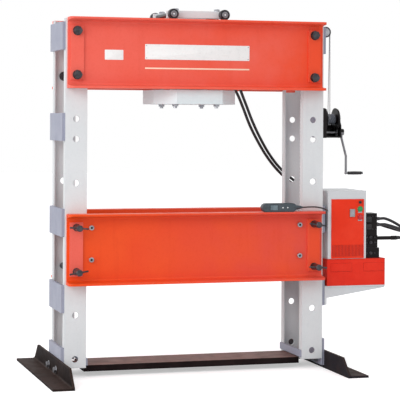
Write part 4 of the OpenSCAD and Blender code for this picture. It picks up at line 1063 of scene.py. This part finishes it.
@dataclass
class PowerLead:
    """Mains lead with its boot, its stored coil, two ties and its plug.

    The coil's rows are given by radius and height, in the order in which they are wound.
    """

    diameter: float = 13.0
    route: tuple[Point, ...] = (
        (1210, -116, 722), (1234, -116, 722), (1266, -115, 703), (1287, -112, 662),
        (1295, -108, 600), (1299, -104, 510), (1301, -100, 410), (1303, -96, 310),
        (1307, -92, 220), (1314, -88, 140), (1325, -80, 76), (1338, -62, 36), (1347, -36, 22),
        (1350, -7, 20),
    )
    centre: Pair = (1428.0, 40.0)
    enters_at: float = 211.0
    rows: tuple[Pair, ...] = (
        (84.2, 20.2), (84.2, 7.3), (65.6, 7.3), (65.6, 20.2), (65.6, 33.1), (84.2, 33.1),
    )
    points_in_turn: int = 24
    first_point: int = 3
    passes_from: float = 0.83
    tail: tuple[Point, ...] = (
        (1344, 58, 30), (1344.5, 76, 25), (1346, 92, 21), (1350, 108, 20), (1358, 122, 21),
        (1364.4, 130, 21), (1372, 136, 21),
    )
    # Keeps turns that lie on each other from cutting into each other.
    play: float = 0.05
    boot_covers: int = 12
    boot_length: float = 46.0
    boot_r: Pair = (11.4, 7.2)
    boot_groove: float = 0.9
    tie_turns: tuple[float, ...] = (20.0, 120.0)
    tie_reach: Pair = (58.0, 91.6)
    tie_heights: Pair = (1.4, 40.2)
    tie_round: float = 6.5
    tie_tuck: float = 2.0
    tie_strands: tuple[float, ...] = (-2.0, 0.0, 2.0)
    strand_r: float = 0.75
    plug: Point = (1391.1, 147.0, 21.0)
    plug_turn: float = 30.0
    blade_low: Point = (49.0, -0.8, -1.0)
    blade_high: Point = (67.6, 0.8, 5.3)
    blade_y: float = 6.4
    earth_z: float = -8.5

    def _coil(self) -> list[Point]:
        """Points of the stored turns, each row passing into the next over its last sixth."""
        out: list[Point] = []
        turns = len(self.rows)
        first = self.first_point
        for step in range(first, turns * self.points_in_turn + first):
            turn, share = divmod(step / self.points_in_turn, 1.0)
            row = min(int(turn), turns - 1)
            if row < turn:
                share = 1.0
            radius, height = self.rows[row]
            following = self.rows[min(row + 1, turns - 1)]
            ease = max(0.0, (share - self.passes_from) / (1 - self.passes_from))
            ease = ease * ease * (3 - 2 * ease)
            radius += (following[0] - radius) * ease
            height += (following[1] - height) * ease
            angle = math.radians(self.enters_at - 360 * step / self.points_in_turn)
            out.append((
                self.centre[0] + radius * math.cos(angle),
                self.centre[1] + radius * math.sin(angle),
                height,
            ))
        return out

    def build(self) -> None:
        """Makes the lead and what is on it."""
        line = Tube.smooth(metres([*self.route, *self._coil(), *self.tail]), 4)
        lead = Tube.make("power_lead", line, self.diameter / 2 - self.play, 14)
        Bench.seat(lead, Finish.CORD, "frame", "power_cable", "cable_coil")
        extras = [self._boot(line), *self._ties(), *self._plug()]
        Tube.length(line)
        LOG.info("the power lead is %.2f m long", Tube.length(line))

    def _boot(self, line: Sequence[Vector]) -> Piece:
        """Tapered, ribbed strain relief at the motor.

        Args:
            line: The lead's centre line.

        Returns:
            The boot.
        """
        fine = Tube.smooth(line[:self.boot_covers], 4)
        reach = [p for p in fine if (p - line[0]).length <= self.boot_length * MM]
        wide, slim = self.boot_r
        radii = [
            wide + (slim - wide) * i / (len(reach) - 1) - (self.boot_groove if i % 3 == 2 else 0)
            for i in range(len(reach))
        ]
        return Bench.seat(Tube.make("power_lead_boot", reach, radii, 24), Finish.PLASTIC)

    def _ties(self) -> list[Piece]:
        """Two bands of three strands each that hold the turns together."""
        (inner, outer), (low, high) = self.tie_reach, self.tie_heights
        bend, tuck = self.tie_round, self.tie_tuck
        corners = (
            (outer, low + bend), (outer, high - bend), (outer - tuck, high - tuck),
            (outer - bend, high), (inner + bend, high), (inner + tuck, high - tuck),
            (inner, high - bend), (inner, low + bend), (inner + tuck, low + tuck),
            (inner + bend, low), (outer - bend, low), (outer - tuck, low + tuck),
        )
        out = []
        for number, angle in enumerate(self.tie_turns, 1):
            turn = Matrix.Rotation(math.radians(angle), 3, "Z")
            strands = []
            for shift in self.tie_strands:
                loop = [
                    (Vector((*self.centre, 0)) + turn @ Vector((r, shift, z))) * MM
                    for r, z in corners
                ]
                line = Tube.smooth([*loop, loop[0]], 3)
                strands.append(Tube.make("strand", line, self.strand_r, 6))
            out.append(Bench.seat(Bench.join(f"lead_tie_{number}", strands), Finish.PLASTIC))
        return out

    def _plug(self) -> list[Piece]:
        """Plug with a cord nut, grip rings, two blades and an earth pin."""
        turn = Matrix.Rotation(math.radians(self.plug_turn), 4, "Z")
        stand = Matrix.Translation(Vector(self.plug) * MM) @ turn
        body = Bench.turned("power_plug_body", stand @ Bench.aim((0, 0, 0), "+X"), (
            (-22, 8.4), (-21, 9.4), (-12, 11.5), (-11, 13.5), (-1, 15.5), (0, 18.4), (3, 20.4),
            (8, 20.9), (9.5, 19.6), (11.5, 19.6), (13, 20.9), (16, 20.9), (17.5, 19.6),
            (19.5, 19.6), (21, 20.9), (24, 20.9), (25.5, 19.6), (27.5, 19.6), (29, 20.9),
            (44, 20.9), (48.5, 19.8), (50, 18.2), (50, 16.5), (49.2, 16), (49.2, 3),
        ), 48)
        Bench.seat(body, Finish.PLASTIC, "frame", "power_plug")
        blades = [
            Bench.block(
                "blade", Vector(self.blade_low) + Vector((0, y, 0)),
                Vector(self.blade_high) + Vector((0, y, 0)), 0.5,
            )
            for y in (-self.blade_y, self.blade_y)
        ]
        earth = Bench.turned("earth", Bench.aim((self.blade_low[0], 0, self.earth_z), "+X"), (
            (0, 2.4), (16, 2.4), (18, 1.6), (18.6, 0.5),
        ), 20)
        pins = Bench.join("power_plug_pins", [*blades, earth])
        pins.data.transform(stand)
        Bench.seat(pins, Finish.BRIGHT)
        return [body, pins]


@dataclass
class Pendant:
    """Hand control on the bed: its cord, relief ribs, screws, small marks and rocker pads."""

    cord: tuple[Point, ...] = (
        (596, -235, 910), (610, -235, 910), (632, -231, 911), (658, -225, 911),
        (686, -218, 909), (714, -210, 904), (738, -199, 897), (756, -184, 891),
        (765, -172, 888), (765, -160, 888),
    )
    cord_d: float = 8.0
    face_y: float = -255.0
    axis_z: float = 910.0
    relief_foot: Pair = (551.0, -235.0)
    relief_length: float = 45.0
    relief_r: Pair = (14.5, 5.0)
    ribs_at: tuple[float, ...] = (12, 19, 26, 33)
    screws_at: tuple[Pair, ...] = ((372, 910), (542, 910), (462, 927.5), (462, 892.5))
    marks_at: tuple[Pair, ...] = ((472, 910), (500, 910))
    pads_at: tuple[float, ...] = (407, 433)
    pad_half: Pair = (4.5, 8.0)
    pad_y: Pair = (-257.6, -254.6)

    def build(self) -> None:
        """Makes the cord and the details of the control."""
        line = Tube.smooth(metres(self.cord))
        cord = Tube.make("pendant_lead", line, self.cord_d / 2, 14)
        Bench.seat(cord, Finish.CORD, "frame", "pendant_cord")
        Tube.length(line)
        LOG.info("the pendant's cord is %.2f m long", Tube.length(line))
        self._ribs()
        self._face()

    def _ribs(self) -> None:
        """Rings round the tapered relief."""
        x, y = self.relief_foot
        wide, slim = self.relief_r
        rings = []
        for along in self.ribs_at:
            radius = wide + (slim - wide) * along / self.relief_length
            rings.append(Bench.turned("rib", Bench.aim((x + along, y, self.axis_z), "+X"), (
                (0, radius - 0.5), (0.8, radius + 0.9), (2.4, radius + 0.7), (3.2, radius - 0.9),
            ), 32))
        Bench.seat(Bench.join("pendant_relief_ribs", rings), Finish.PENDANT)

    def _face(self) -> None:
        """Screws, two small round marks and the rocker's two pads."""
        seats = Bench.on_front(self.face_y, self.screws_at)
        Bench.seat(Bench.copies("pendant_screws", seats, (
            (-1, 3.1), (0.7, 3.1), (1.2, 2.6), (1.2, 1.5), (0.4, 1.4),
        ), 20), Finish.DARK)
        spots = Bench.on_front(self.face_y, self.marks_at)
        marks = Bench.copies("pendant_marks", spots, ((-0.5, 3.6), (0.7, 3.6), (1.1, 3.1)), 28)
        Bench.seat(marks, Finish.LABEL)
        (wide, tall), (front, back) = self.pad_half, self.pad_y
        pads = [
            Bench.block(
                "pad", (x - wide, front, self.axis_z - tall), (x + wide, back, self.axis_z + tall),
                1.1, 4.0,
            )
            for x in self.pads_at
        ]
        Bench.seat(Bench.join("pendant_rocker_pads", pads), Finish.ROCKER, "rocker")


@dataclass
class LiftingRopes:
    """Wire ropes from the drum over the sheaves to the bed, and the turns on the drum.

    Each drop is a rope's place along X, the plane that it runs in, and its shift at the drum.
    """

    rope_r: float = 3.0
    sheave_x: float = 791.0
    sheave_z: float = 1896.0
    groove_r: float = 27.0
    drum_z: float = 1400.0
    wound_y: float = -53.4
    straight: float = 60.0
    # Keeps the ropes clear of the grooves that they run in.
    thinner: float = 0.8
    turn_gap: float = 0.2
    turn_points: int = 24
    play: float = 0.05
    drops: tuple[tuple[float, float, float], ...] = ((645, -55, -6), (-709, -65, 6))
    hook_z: float = 881.5

    def _route(self, drop: float, y: float, shift: float) -> list[Vector]:
        """One rope's line.

        Args:
            drop: Where it comes down, along X.
            y: The plane that it runs in.
            shift: Where it leaves the drum, past the sheave's groove.

        Returns:
            Its centre line in metres.
        """
        up = self.sheave_x + self.groove_r
        points: list[Point] = [
            (up + shift, self.wound_y, self.drum_z), (up, y, self.sheave_z - self.straight),
        ]
        for first, middle in ((0, self.sheave_x), (90, drop + self.groove_r)):
            for angle in range(first, first + 91, 10):
                turn = math.radians(angle)
                points.append((
                    middle + self.groove_r * math.cos(turn), y,
                    self.sheave_z + self.groove_r * math.sin(turn),
                ))
        points.append((drop, y, self.hook_z))
        return metres(points)

    def build(self) -> None:
        """Makes both ropes and the winding."""
        ropes = [
            Tube.make("rope", self._route(*drop), self.rope_r - self.thinner, 12)
            for drop in self.drops
        ]
        Bench.seat(Bench.join("lifting_wire_ropes", ropes), Finish.ROPE, "frame", "lifting_ropes")
        low, high = box_of("drum_rope")
        radius = (high.z - low.z) / 2 - self.rope_r
        centre = (low + high) / 2
        start, end = low.x + self.rope_r, high.x - self.rope_r
        steps = int((end - start) / (2 * self.rope_r + self.turn_gap)) * self.turn_points
        line = []
        for i in range(steps + 1):
            turn = math.tau * i / self.turn_points
            line.append(Vector((
                start + (end - start) * i / steps,
                centre.y + radius * math.cos(turn),
                centre.z + radius * math.sin(turn),
            )) * MM)
        winding = Tube.make("drum_winding", line, self.rope_r - self.play, 10)
        Bench.seat(winding, Finish.WOUND, "drum", "drum_rope")


@dataclass
class SheaveFaces:
    """Bright stepped discs on both sides of the three rope sheaves."""

    names: tuple[str, ...] = ("outer_sheave", "right_sheave", "left_sheave")
    share: float = 0.74

    def build(self) -> None:
        """Makes one disc on each side of every sheave."""
        for name in self.names:
            low, high = box_of(name)
            centre = (low + high) / 2
            radius = (high.z - low.z) / 2 * self.share
            sides = [
                Bench.facing(centre.x, y, centre.z, "Y", sign)
                for y, sign in ((low.y, -1), (high.y, 1))
            ]
            Bench.seat(Bench.copies(name + "_faces", sides, (
                (-1.0, radius), (0.5, radius), (1.0, radius - 0.6), (1.0, radius * 0.62),
                (0.3, radius * 0.56), (0.3, radius * 0.42),
            )), Finish.BRIGHT, name)


@dataclass
class ValveDetails:
    """Solenoid coils, port plugs and cap screws on the valve block."""

    front: float = -151.0
    coil_half: float = 15.0
    coil_depth: float = 17.0
    coils_at: tuple[Pair, ...] = ((1023, 832), (1023, 790))
    plugs_at: tuple[Pair, ...] = ((1039, 730), (1039, 700), (1039, 640))
    screws_at: tuple[Pair, ...] = (
        *product((1049, 1069), (848, 776)), *product((1015, 1063), (730, 700, 640)),
    )

    def build(self) -> None:
        """Makes the details."""
        half, face = self.coil_half, self.front - self.coil_depth
        coils = [
            Bench.block(
                "coil", (x - half, face, z - half), (x + half, self.front - OFF, z + half), 1.6, 4,
            )
            for x, z in self.coils_at
        ]
        caps = Bench.copies("cap", Bench.on_front(face + 2 * OFF, self.coils_at), (
            (0, 8.5), (5, 8.5), (6.4, 7.2), (6.4, 3.4), (5.2, 3.0),
        ), 6)
        Bench.seat(Bench.join("valve_coils", [*coils, caps]), Finish.PLASTIC)
        Bench.seat(Bench.copies("valve_screws", Bench.on_front(self.front, self.screws_at), (
            (-0.5, 4.6), (4.4, 4.6), (5.2, 3.9), (5.2, 2.4), (2.2, 2.3),
        ), 24), Finish.DARK)
        Bench.seat(Bench.copies("valve_plugs", Bench.on_front(self.front, self.plugs_at), (
            (-0.5, 10), (1.2, 10), (2.0, 8.4), (7.5, 8.4), (8.6, 7.4), (8.6, 3.2), (5, 3),
        ), 6), Finish.DARK)


@dataclass
class CarriageAxles:
    """Dark sleeves over the carriage's axles and caps over their ends."""

    axle_x: float = 146.0
    axle_z: float = 1969.8
    axle_r: float = 12.0
    inside: float = 176.0
    outside: float = 206.6
    sleeve: float = 0.7

    def build(self) -> None:
        """Makes two sleeves and four caps that roll with the carriage."""
        radius = self.axle_r + self.sleeve
        sleeves = [
            Bench.aim((x, -self.inside, self.axle_z), "+Y") for x in (-self.axle_x, self.axle_x)
        ]
        Bench.seat(Bench.copies("axle_sleeves", sleeves, (
            (0, radius), (2 * self.inside, radius),
        )), Finish.DARK, "carriage")
        caps = Bench.on_ends((-self.axle_x, self.axle_x), self.outside, (self.axle_z,))
        Bench.seat(Bench.copies("axle_caps", caps, (
            (0, 17.6), (4.4, 17.6), (5.4, 16.6), (5.4, 10.4), (4.7, 9.8), (4.7, 5.0), (3.9, 4.6),
        )), Finish.GREY_STEEL, "carriage")


@dataclass
class WinchDetails:
    """Dark cap over the crank's hub, the guard behind the gears and the ribbed grip."""

    hub: Point = (899.6, -19.0, 1329.84)
    hub_r: float = 15.0
    guard: tuple[Point, Point] = ((790, 38, 1300), (888, 41, 1369))
    ribs: int = 8
    plain_ends: float = 8.0

    def build(self) -> None:
        """Makes the details."""
        cap = Bench.turned("crank_hub_cap", Bench.aim(self.hub, "+X"), (
            (0, self.hub_r + 0.6), (19, self.hub_r + 0.6), (21, self.hub_r - 1.2), (21, 8),
            (19.8, 7.2),
        ))
        Bench.seat(cap, Finish.BLACK, "crank")
        Bench.seat(Bench.block("winch_guard", *self.guard, 0.8, 4), Finish.BLACK)
        self._grip()

    def _grip(self) -> None:
        """Grip with rounded ends and ribs that swell towards its middle."""
        low, high = box_of("crank_grip")
        centre = (low + high) / 2
        radius = (high.z - low.z) / 2
        length = high.x - low.x
        profile = [(0.0, radius * 0.62), (2.0, radius * 0.86), (5.0, radius * 0.97)]
        span = (length - 2 * self.plain_ends) / self.ribs
        for i in range(self.ribs):
            foot = self.plain_ends + i * span
            full = radius * (0.90 + 0.10 * math.sin(math.pi * (i + 0.5) / self.ribs))
            profile += [(foot, full * 0.93), (foot + span * 0.25, full), (foot + span * 0.8, full)]
        profile += [
            (length - 6, radius * 0.95), (length - 2, radius * 0.82), (length, radius * 0.55),
        ]
        place = Bench.aim((low.x, centre.y, centre.z), "+X")
        grip = Bench.turned("crank_grip_ribbed", place, profile)
        Bench.seat(grip, Finish.RUBBER, "grip", "crank_grip")


@dataclass
class BolsterTrim:
    """Bare plates on the upper channel, their rivets, and trim on the spacer bolts' heads."""

    face_y: float = -185.0
    panel: Area = (-301, 295, 1720, 1803)
    line: Area = (-301, 295, 1668, 1676)
    label: Area = (-525, -422, 1715, 1769)
    spacer_x: float = 594.0
    spacer_z: Pair = (638.25, 810.25)
    head_y: float = 198.0
    rivet_inset: float = 8.0
    rivet_seat: float = 1.5

    def _plate(
        self, name: str, area: Sequence[float], thick: float, corner: float, finish: Finish
    ) -> None:
        """Thin plate on the upper channel's front.

        Args:
            name: Its name.
            area: Left, right, bottom and top in millimetres.
            thick: Its thickness.
            corner: The radius of its corners.
            finish: Its finish.
        """
        left, right, bottom, top = area
        plate = Bench.block(
            name, (left, self.face_y - thick, bottom), (right, self.face_y - OFF, top),
            min(0.5, thick * 0.45), corner,
        )
        Bench.seat(plate, finish)

    def build(self) -> None:
        """Makes the plates, rivets and rings."""
        self._plate("name_panel", self.panel, 1.6, 3, Finish.LABEL)
        self._plate("name_panel_line", self.line, 0.6, 0.5, Finish.STRIPE)
        self._plate("small_label", self.label, 0.8, 3, Finish.LABEL)
        left, right, bottom, top = self.panel
        inset = self.rivet_inset
        corners = Bench.on_front(self.face_y - self.rivet_seat, product(
            (left + inset, right - inset), (bottom + inset, top - inset)
        ))
        Bench.seat(Bench.copies("name_panel_rivets", corners, (
            (-0.3, 3.0), (0.5, 2.9), (1.2, 2.2), (1.6, 0.9),
        ), 20), Finish.BRIGHT)
        heads = Bench.on_ends((-self.spacer_x, self.spacer_x), self.head_y, self.spacer_z)
        Bench.seat(Bench.copies("spacer_rings", heads, (
            (-6.0, 13.6), (0.8, 13.6), (1.5, 12.8), (1.5, 6.6), (0.3, 6.0),
        )), Finish.BRIGHT)
        Bench.seat(Bench.copies("spacer_centres", heads, (
            (0.1, 6.3), (0.9, 6.3), (1.2, 5.8),
        ), 6), Finish.BLACK)


@dataclass
class ControlPanel:
    """Hour meter, button caps and collars, screws, and a deep red sheet behind the vent slots that
    paints their shade.
    """

    face_y: float = -172.0
    meter: Area = (901, 931, 849, 893)
    bezel_depth: float = 7.0
    rim: float = 3.4
    sunk: float = 3.5
    screw_inset: float = 9.0
    sheet_inset: float = 4.0
    sheet_top: float = 82.0

    def build(self) -> None:
        """Makes the details of the panel."""
        self._meter()
        self._buttons()
        self._screws()
        self._vent_shade_sheet()

    def _meter(self) -> None:
        """Bezel with a sunk window."""
        left, right, bottom, top = self.meter
        front = self.face_y - self.bezel_depth
        bezel = Bench.block(
            "hour_meter_bezel", (left, front, bottom), (right, self.face_y - 2 * OFF, top), 0.01, 3
        )
        Bench.hold(bezel)
        Bench.unpick(bezel)
        max(bezel.data.polygons, key=lambda face: -face.normal.y * face.area).select = True
        bpy.ops.object.mode_set(mode="EDIT")
        bpy.ops.mesh.select_mode(type="FACE")
        bpy.ops.mesh.inset(thickness=self.rim * MM)
        bpy.ops.mesh.extrude_region_move(TRANSFORM_OT_translate={"value": (0, self.sunk * MM, 0)})
        bpy.ops.object.mode_set(mode="OBJECT")
        Bench.round_edges(bezel, 0.6)
        Bench.seat(bezel, Finish.METER)
        edge = self.rim + 0.2
        window = Bench.block(
            "hour_meter_window", (left + edge, front + 2.4, bottom + edge),
            (right - edge, front + 3.8, top - edge), 0.4, 0.8,
        )
        Bench.seat(window, Finish.LABEL)

    def _buttons(self) -> None:
        """Domed caps and the collars round them."""
        for name, finish in (("start_button", Finish.GREEN), ("stop_button", Finish.STOP)):
            low, high = box_of(name)
            centre = (low + high) / 2
            radius = (high.z - low.z) / 2
            depth = high.y - low.y
            foot = Bench.aim((centre.x, high.y, centre.z), "-Y")
            cap = Bench.turned(name + "_domed", foot, (
                (0, radius), (depth - 3.2, radius), (depth - 1.6, radius * 0.95),
                (depth - 0.7, radius * 0.82), (depth - 0.2, radius * 0.6), (depth, radius * 0.3),
            ), 48)
            Bench.seat(cap, finish, name, name)
            foot = Bench.aim((centre.x, self.face_y, centre.z), "-Y")
            collar = Bench.turned(name + "_collar", foot, (
                (OFF, radius + 5.0), (3.6, radius + 5.0), (4.8, radius + 4.0),
                (4.8, radius + 0.8), (OFF, radius + 0.7),
            ), 48)
            Bench.seat(collar, finish)

    def _screws(self) -> None:
        """Three small heads down each side of the panel."""
        low, high = box_of("front_panel")
        inset = self.screw_inset
        places = Bench.on_front(self.face_y, product(
            (low.x + inset, high.x - inset), (low.z + inset, (low.z + high.z) / 2, high.z - inset)
        ))
        Bench.seat(Bench.copies("panel_screws", places, (
            (OFF, 4.4), (1.4, 4.2), (2.4, 3.2), (2.4, 1.7), (1.2, 1.5),
        ), 24), Finish.PANEL)

    def _vent_shade_sheet(self) -> None:
        """Deep red sheet close behind the slots at the panel's foot; its colour paints the shade
        inside the slots.
        """
        low, high = box_of("front_panel")
        inset = self.sheet_inset
        shade_sheet = Bench.block(
            "vent_shade_sheet", (low.x + inset, high.y - 0.7, low.z + inset),
            (high.x - inset, high.y - 2 * OFF, low.z + self.sheet_top), 0.2,
        )
        Bench.seat(shade_sheet, Finish.SCREEN)


@dataclass
class FootBolts:
    """Bright washers on the feet's bolts, outside the feet's upright legs."""

    washer_r: float = 21.0
    washer_x: float = 765.0
    inset: float = 17.57

    def build(self) -> None:
        """Makes the washers."""
        low, high = box_of("foot_bolts")
        reach = (high.y - low.y) / 2 - self.inset
        places = [
            Bench.facing(side * self.washer_x, end * reach, (low.z + high.z) / 2, "X", side)
            for side, end in product((-1, 1), (-1, 1))
        ]
        Bench.seat(Bench.copies("foot_washers", places, (
            (OFF, self.washer_r), (2.4, self.washer_r), (3.1, self.washer_r - 0.8),
            (3.1, self.washer_r - 4),
        )), Finish.BRIGHT)


@dataclass
class WeldBeads:
    """Rippled beads where the tie plates meet the uprights.

    Each plate is given by its lowest and highest point; the top one comes from the frame.
    """

    plate_x: float = 737.0
    bead_r: float = 3.2
    ripple: float = 4.0
    plate_y: float = 169.0
    plate_h: float = 150.0
    proud: float = 1.2
    short: float = 6.0
    left: tuple[Pair, ...] = (
        (17, 167), (353, 503), (762, 912), (1276, 1426),
    )
    right: tuple[Pair, ...] = (
        (17, 167), (353, 503), (762, 912), (1297, 1456),
    )

    def _bead(self, start: Vector, end: Vector) -> Piece:
        """One straight bead.

        Args:
            start: Its first end in millimetres.
            end: Its other end.

        Returns:
            The bead.
        """
        count = int((end - start).length / self.ripple) * 3
        line = [(start + (end - start) * i / count) * MM for i in range(count + 1)]
        swells = [0.84 + 0.16 * ((i * 7 % 5) / 5 if i % 3 else 1.15) for i in range(count + 1)]
        swells[0] *= 0.45
        swells[-1] *= 0.45
        return Tube.make("bead", line, [self.bead_r * swell for swell in swells], 10)

    def build(self) -> None:
        """Makes the beads of both sides."""
        top = box_of("left_tie_plates")[1].z
        x, y = self.plate_x + self.proud, self.plate_y + self.proud
        for name, side, spans in (
            ("left_tie_welds", -1, self.left), ("right_tie_welds", 1, self.right),
        ):
            beads = [
                self._bead(
                    Vector((side * x, end * y, low + self.short)),
                    Vector((side * x, end * y, high - self.short)),
                )
                for low, high in (*spans, (top - self.plate_h, top))
                for end in (-1, 1)
            ]
            Bench.seat(Bench.join(name, beads), Finish.TIE)


@dataclass
class Viewpoint:
    """The camera, level and at breast height, in front of the press and a little to its left."""

    place: Point = (-2.4285, -8.4394, 1.4054)
    yaw: float = math.radians(16.47)
    roll: float = math.radians(0.31)
    lens: float = 141.26
    sensor: float = 36.0
    drop: float = -0.206
    reach: float = 100.0

    def build(self) -> None:
        """Makes the camera and sets it as the scene's own."""
        data = bpy.data.cameras.new("press_camera")
        data.lens = self.lens
        data.sensor_width = self.sensor
        data.shift_y = self.drop
        data.clip_end = self.reach
        camera = bpy.data.objects.new("press_camera", data)
        bpy.context.scene.collection.objects.link(camera)
        upright = Matrix.Rotation(math.radians(90), 4, "X")
        turn = Matrix.Rotation(-self.yaw, 4, "Z") @ upright @ Matrix.Rotation(self.roll, 4, "Z")
        camera.matrix_world = Matrix.Translation(self.place) @ turn
        bpy.context.scene.camera = camera


@dataclass(frozen=True)
class Lamp:
    """A square soft lamp: where it hangs, what it faces, its side in metres and its watts."""

    name: str
    place: Point
    aim: Point
    size: float
    power: float

    def build(self) -> None:
        """Hangs the lamp."""
        data = bpy.data.lights.new(self.name, "AREA")
        data.size = self.size
        data.energy = self.power
        lamp = bpy.data.objects.new(self.name, data)
        bpy.context.scene.collection.objects.link(lamp)
        way = Vector(self.aim) - Vector(self.place)
        turn = way.to_track_quat("-Z", "Y").to_matrix().to_4x4()
        lamp.matrix_world = Matrix.Translation(self.place) @ turn


@dataclass
class Studio:
    """Plain pale floor, white surroundings and soft lamps."""

    floor_size: float = 60.0
    floor_shares: Point = (0.80, 0.80, 0.81)
    floor_glow: float = 0.45
    world_level: float = 0.84
    lamps: tuple[Lamp, ...] = (
        Lamp("key", (-4.6, -4.8, 4.0), (-0.3, 0, 1.4), 2.6, 108),
        Lamp("side", (-6.0, -2.6, 2.2), (0.2, 0, 1.2), 3.0, 100),
        Lamp("top", (0.3, -0.4, 6.5), (0, 0, 1.0), 4.0, 60),
    )

    def build(self) -> None:
        """Makes the floor, the world and the lamps."""
        self._world()
        self._floor()
        for lamp in self.lamps:
            lamp.build()
        bpy.context.scene.view_settings.view_transform = "Standard"

    def _world(self) -> None:
        """White to the camera and in reflections, softer as a light."""
        world = bpy.data.worlds.new("studio")
        bpy.context.scene.world = world
        world.use_nodes = True
        tree = world.node_tree
        tree.nodes.clear()
        ray = tree.nodes.new("ShaderNodeLightPath")
        light = tree.nodes.new("ShaderNodeBackground")
        light.inputs["Strength"].default_value = self.world_level
        white = tree.nodes.new("ShaderNodeBackground")
        seen = self._seen(tree, ray)
        mix = tree.nodes.new("ShaderNodeMixShader")
        output = tree.nodes.new("ShaderNodeOutputWorld")
        tree.links.new(seen, mix.inputs[0])
        tree.links.new(light.outputs[0], mix.inputs[1])
        tree.links.new(white.outputs[0], mix.inputs[2])
        tree.links.new(mix.outputs[0], output.inputs[0])
        for background in (light, white):
            background.inputs["Color"].default_value = (1, 1, 1, 1)

    def _seen(self, tree: bpy.types.NodeTree, ray: bpy.types.Node) -> Socket:
        """Whether a ray shows the background itself.

        Args:
            tree: The world's nodes.
            ray: Its light path node.

        Returns:
            1 for camera, glossy and transmission rays, and 0 for the rest.
        """
        total = ray.outputs["Is Camera Ray"]
        for name in ("Is Glossy Ray", "Is Transmission Ray"):
            step = tree.nodes.new("ShaderNodeMath")
            step.operation = "MAXIMUM"
            tree.links.new(total, step.inputs[0])
            tree.links.new(ray.outputs[name], step.inputs[1])
            total = step.outputs[0]
        return total

    def _floor(self) -> None:
        """A floor that shows white where no shadow falls."""
        bpy.ops.mesh.primitive_plane_add(size=self.floor_size)
        floor = bpy.context.object
        floor.name = "floor"
        graph = Graph("floor_white")
        graph.feed(graph.shader, Base_Color=(*self.floor_shares, 1), Roughness=0.9)
        ray = graph.add("ShaderNodeLightPath")
        graph.feed(
            graph.shader,
            Emission_Color=(1, 1, 1, 1),
            Emission_Strength=graph.fit(ray.outputs["Is Camera Ray"], 0, 1, (0, self.floor_glow)),
        )
        floor.data.materials.append(graph.material)


def main() -> None:
    """Builds the scene in order."""
    Viewpoint().build()
    Studio().build()
    paint_nodes()
    LOG.info("finishes on %d nodes", len(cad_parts))
    for part in (
        HydraulicHoses(), PowerLead(), Pendant(), LiftingRopes(), SheaveFaces(), CarriageAxles(),
        WinchDetails(), BolsterTrim(), ControlPanel(), ValveDetails(), FootBolts(), WeldBeads(),
    ):
        part.build()


if __name__ == "__main__":
    main()
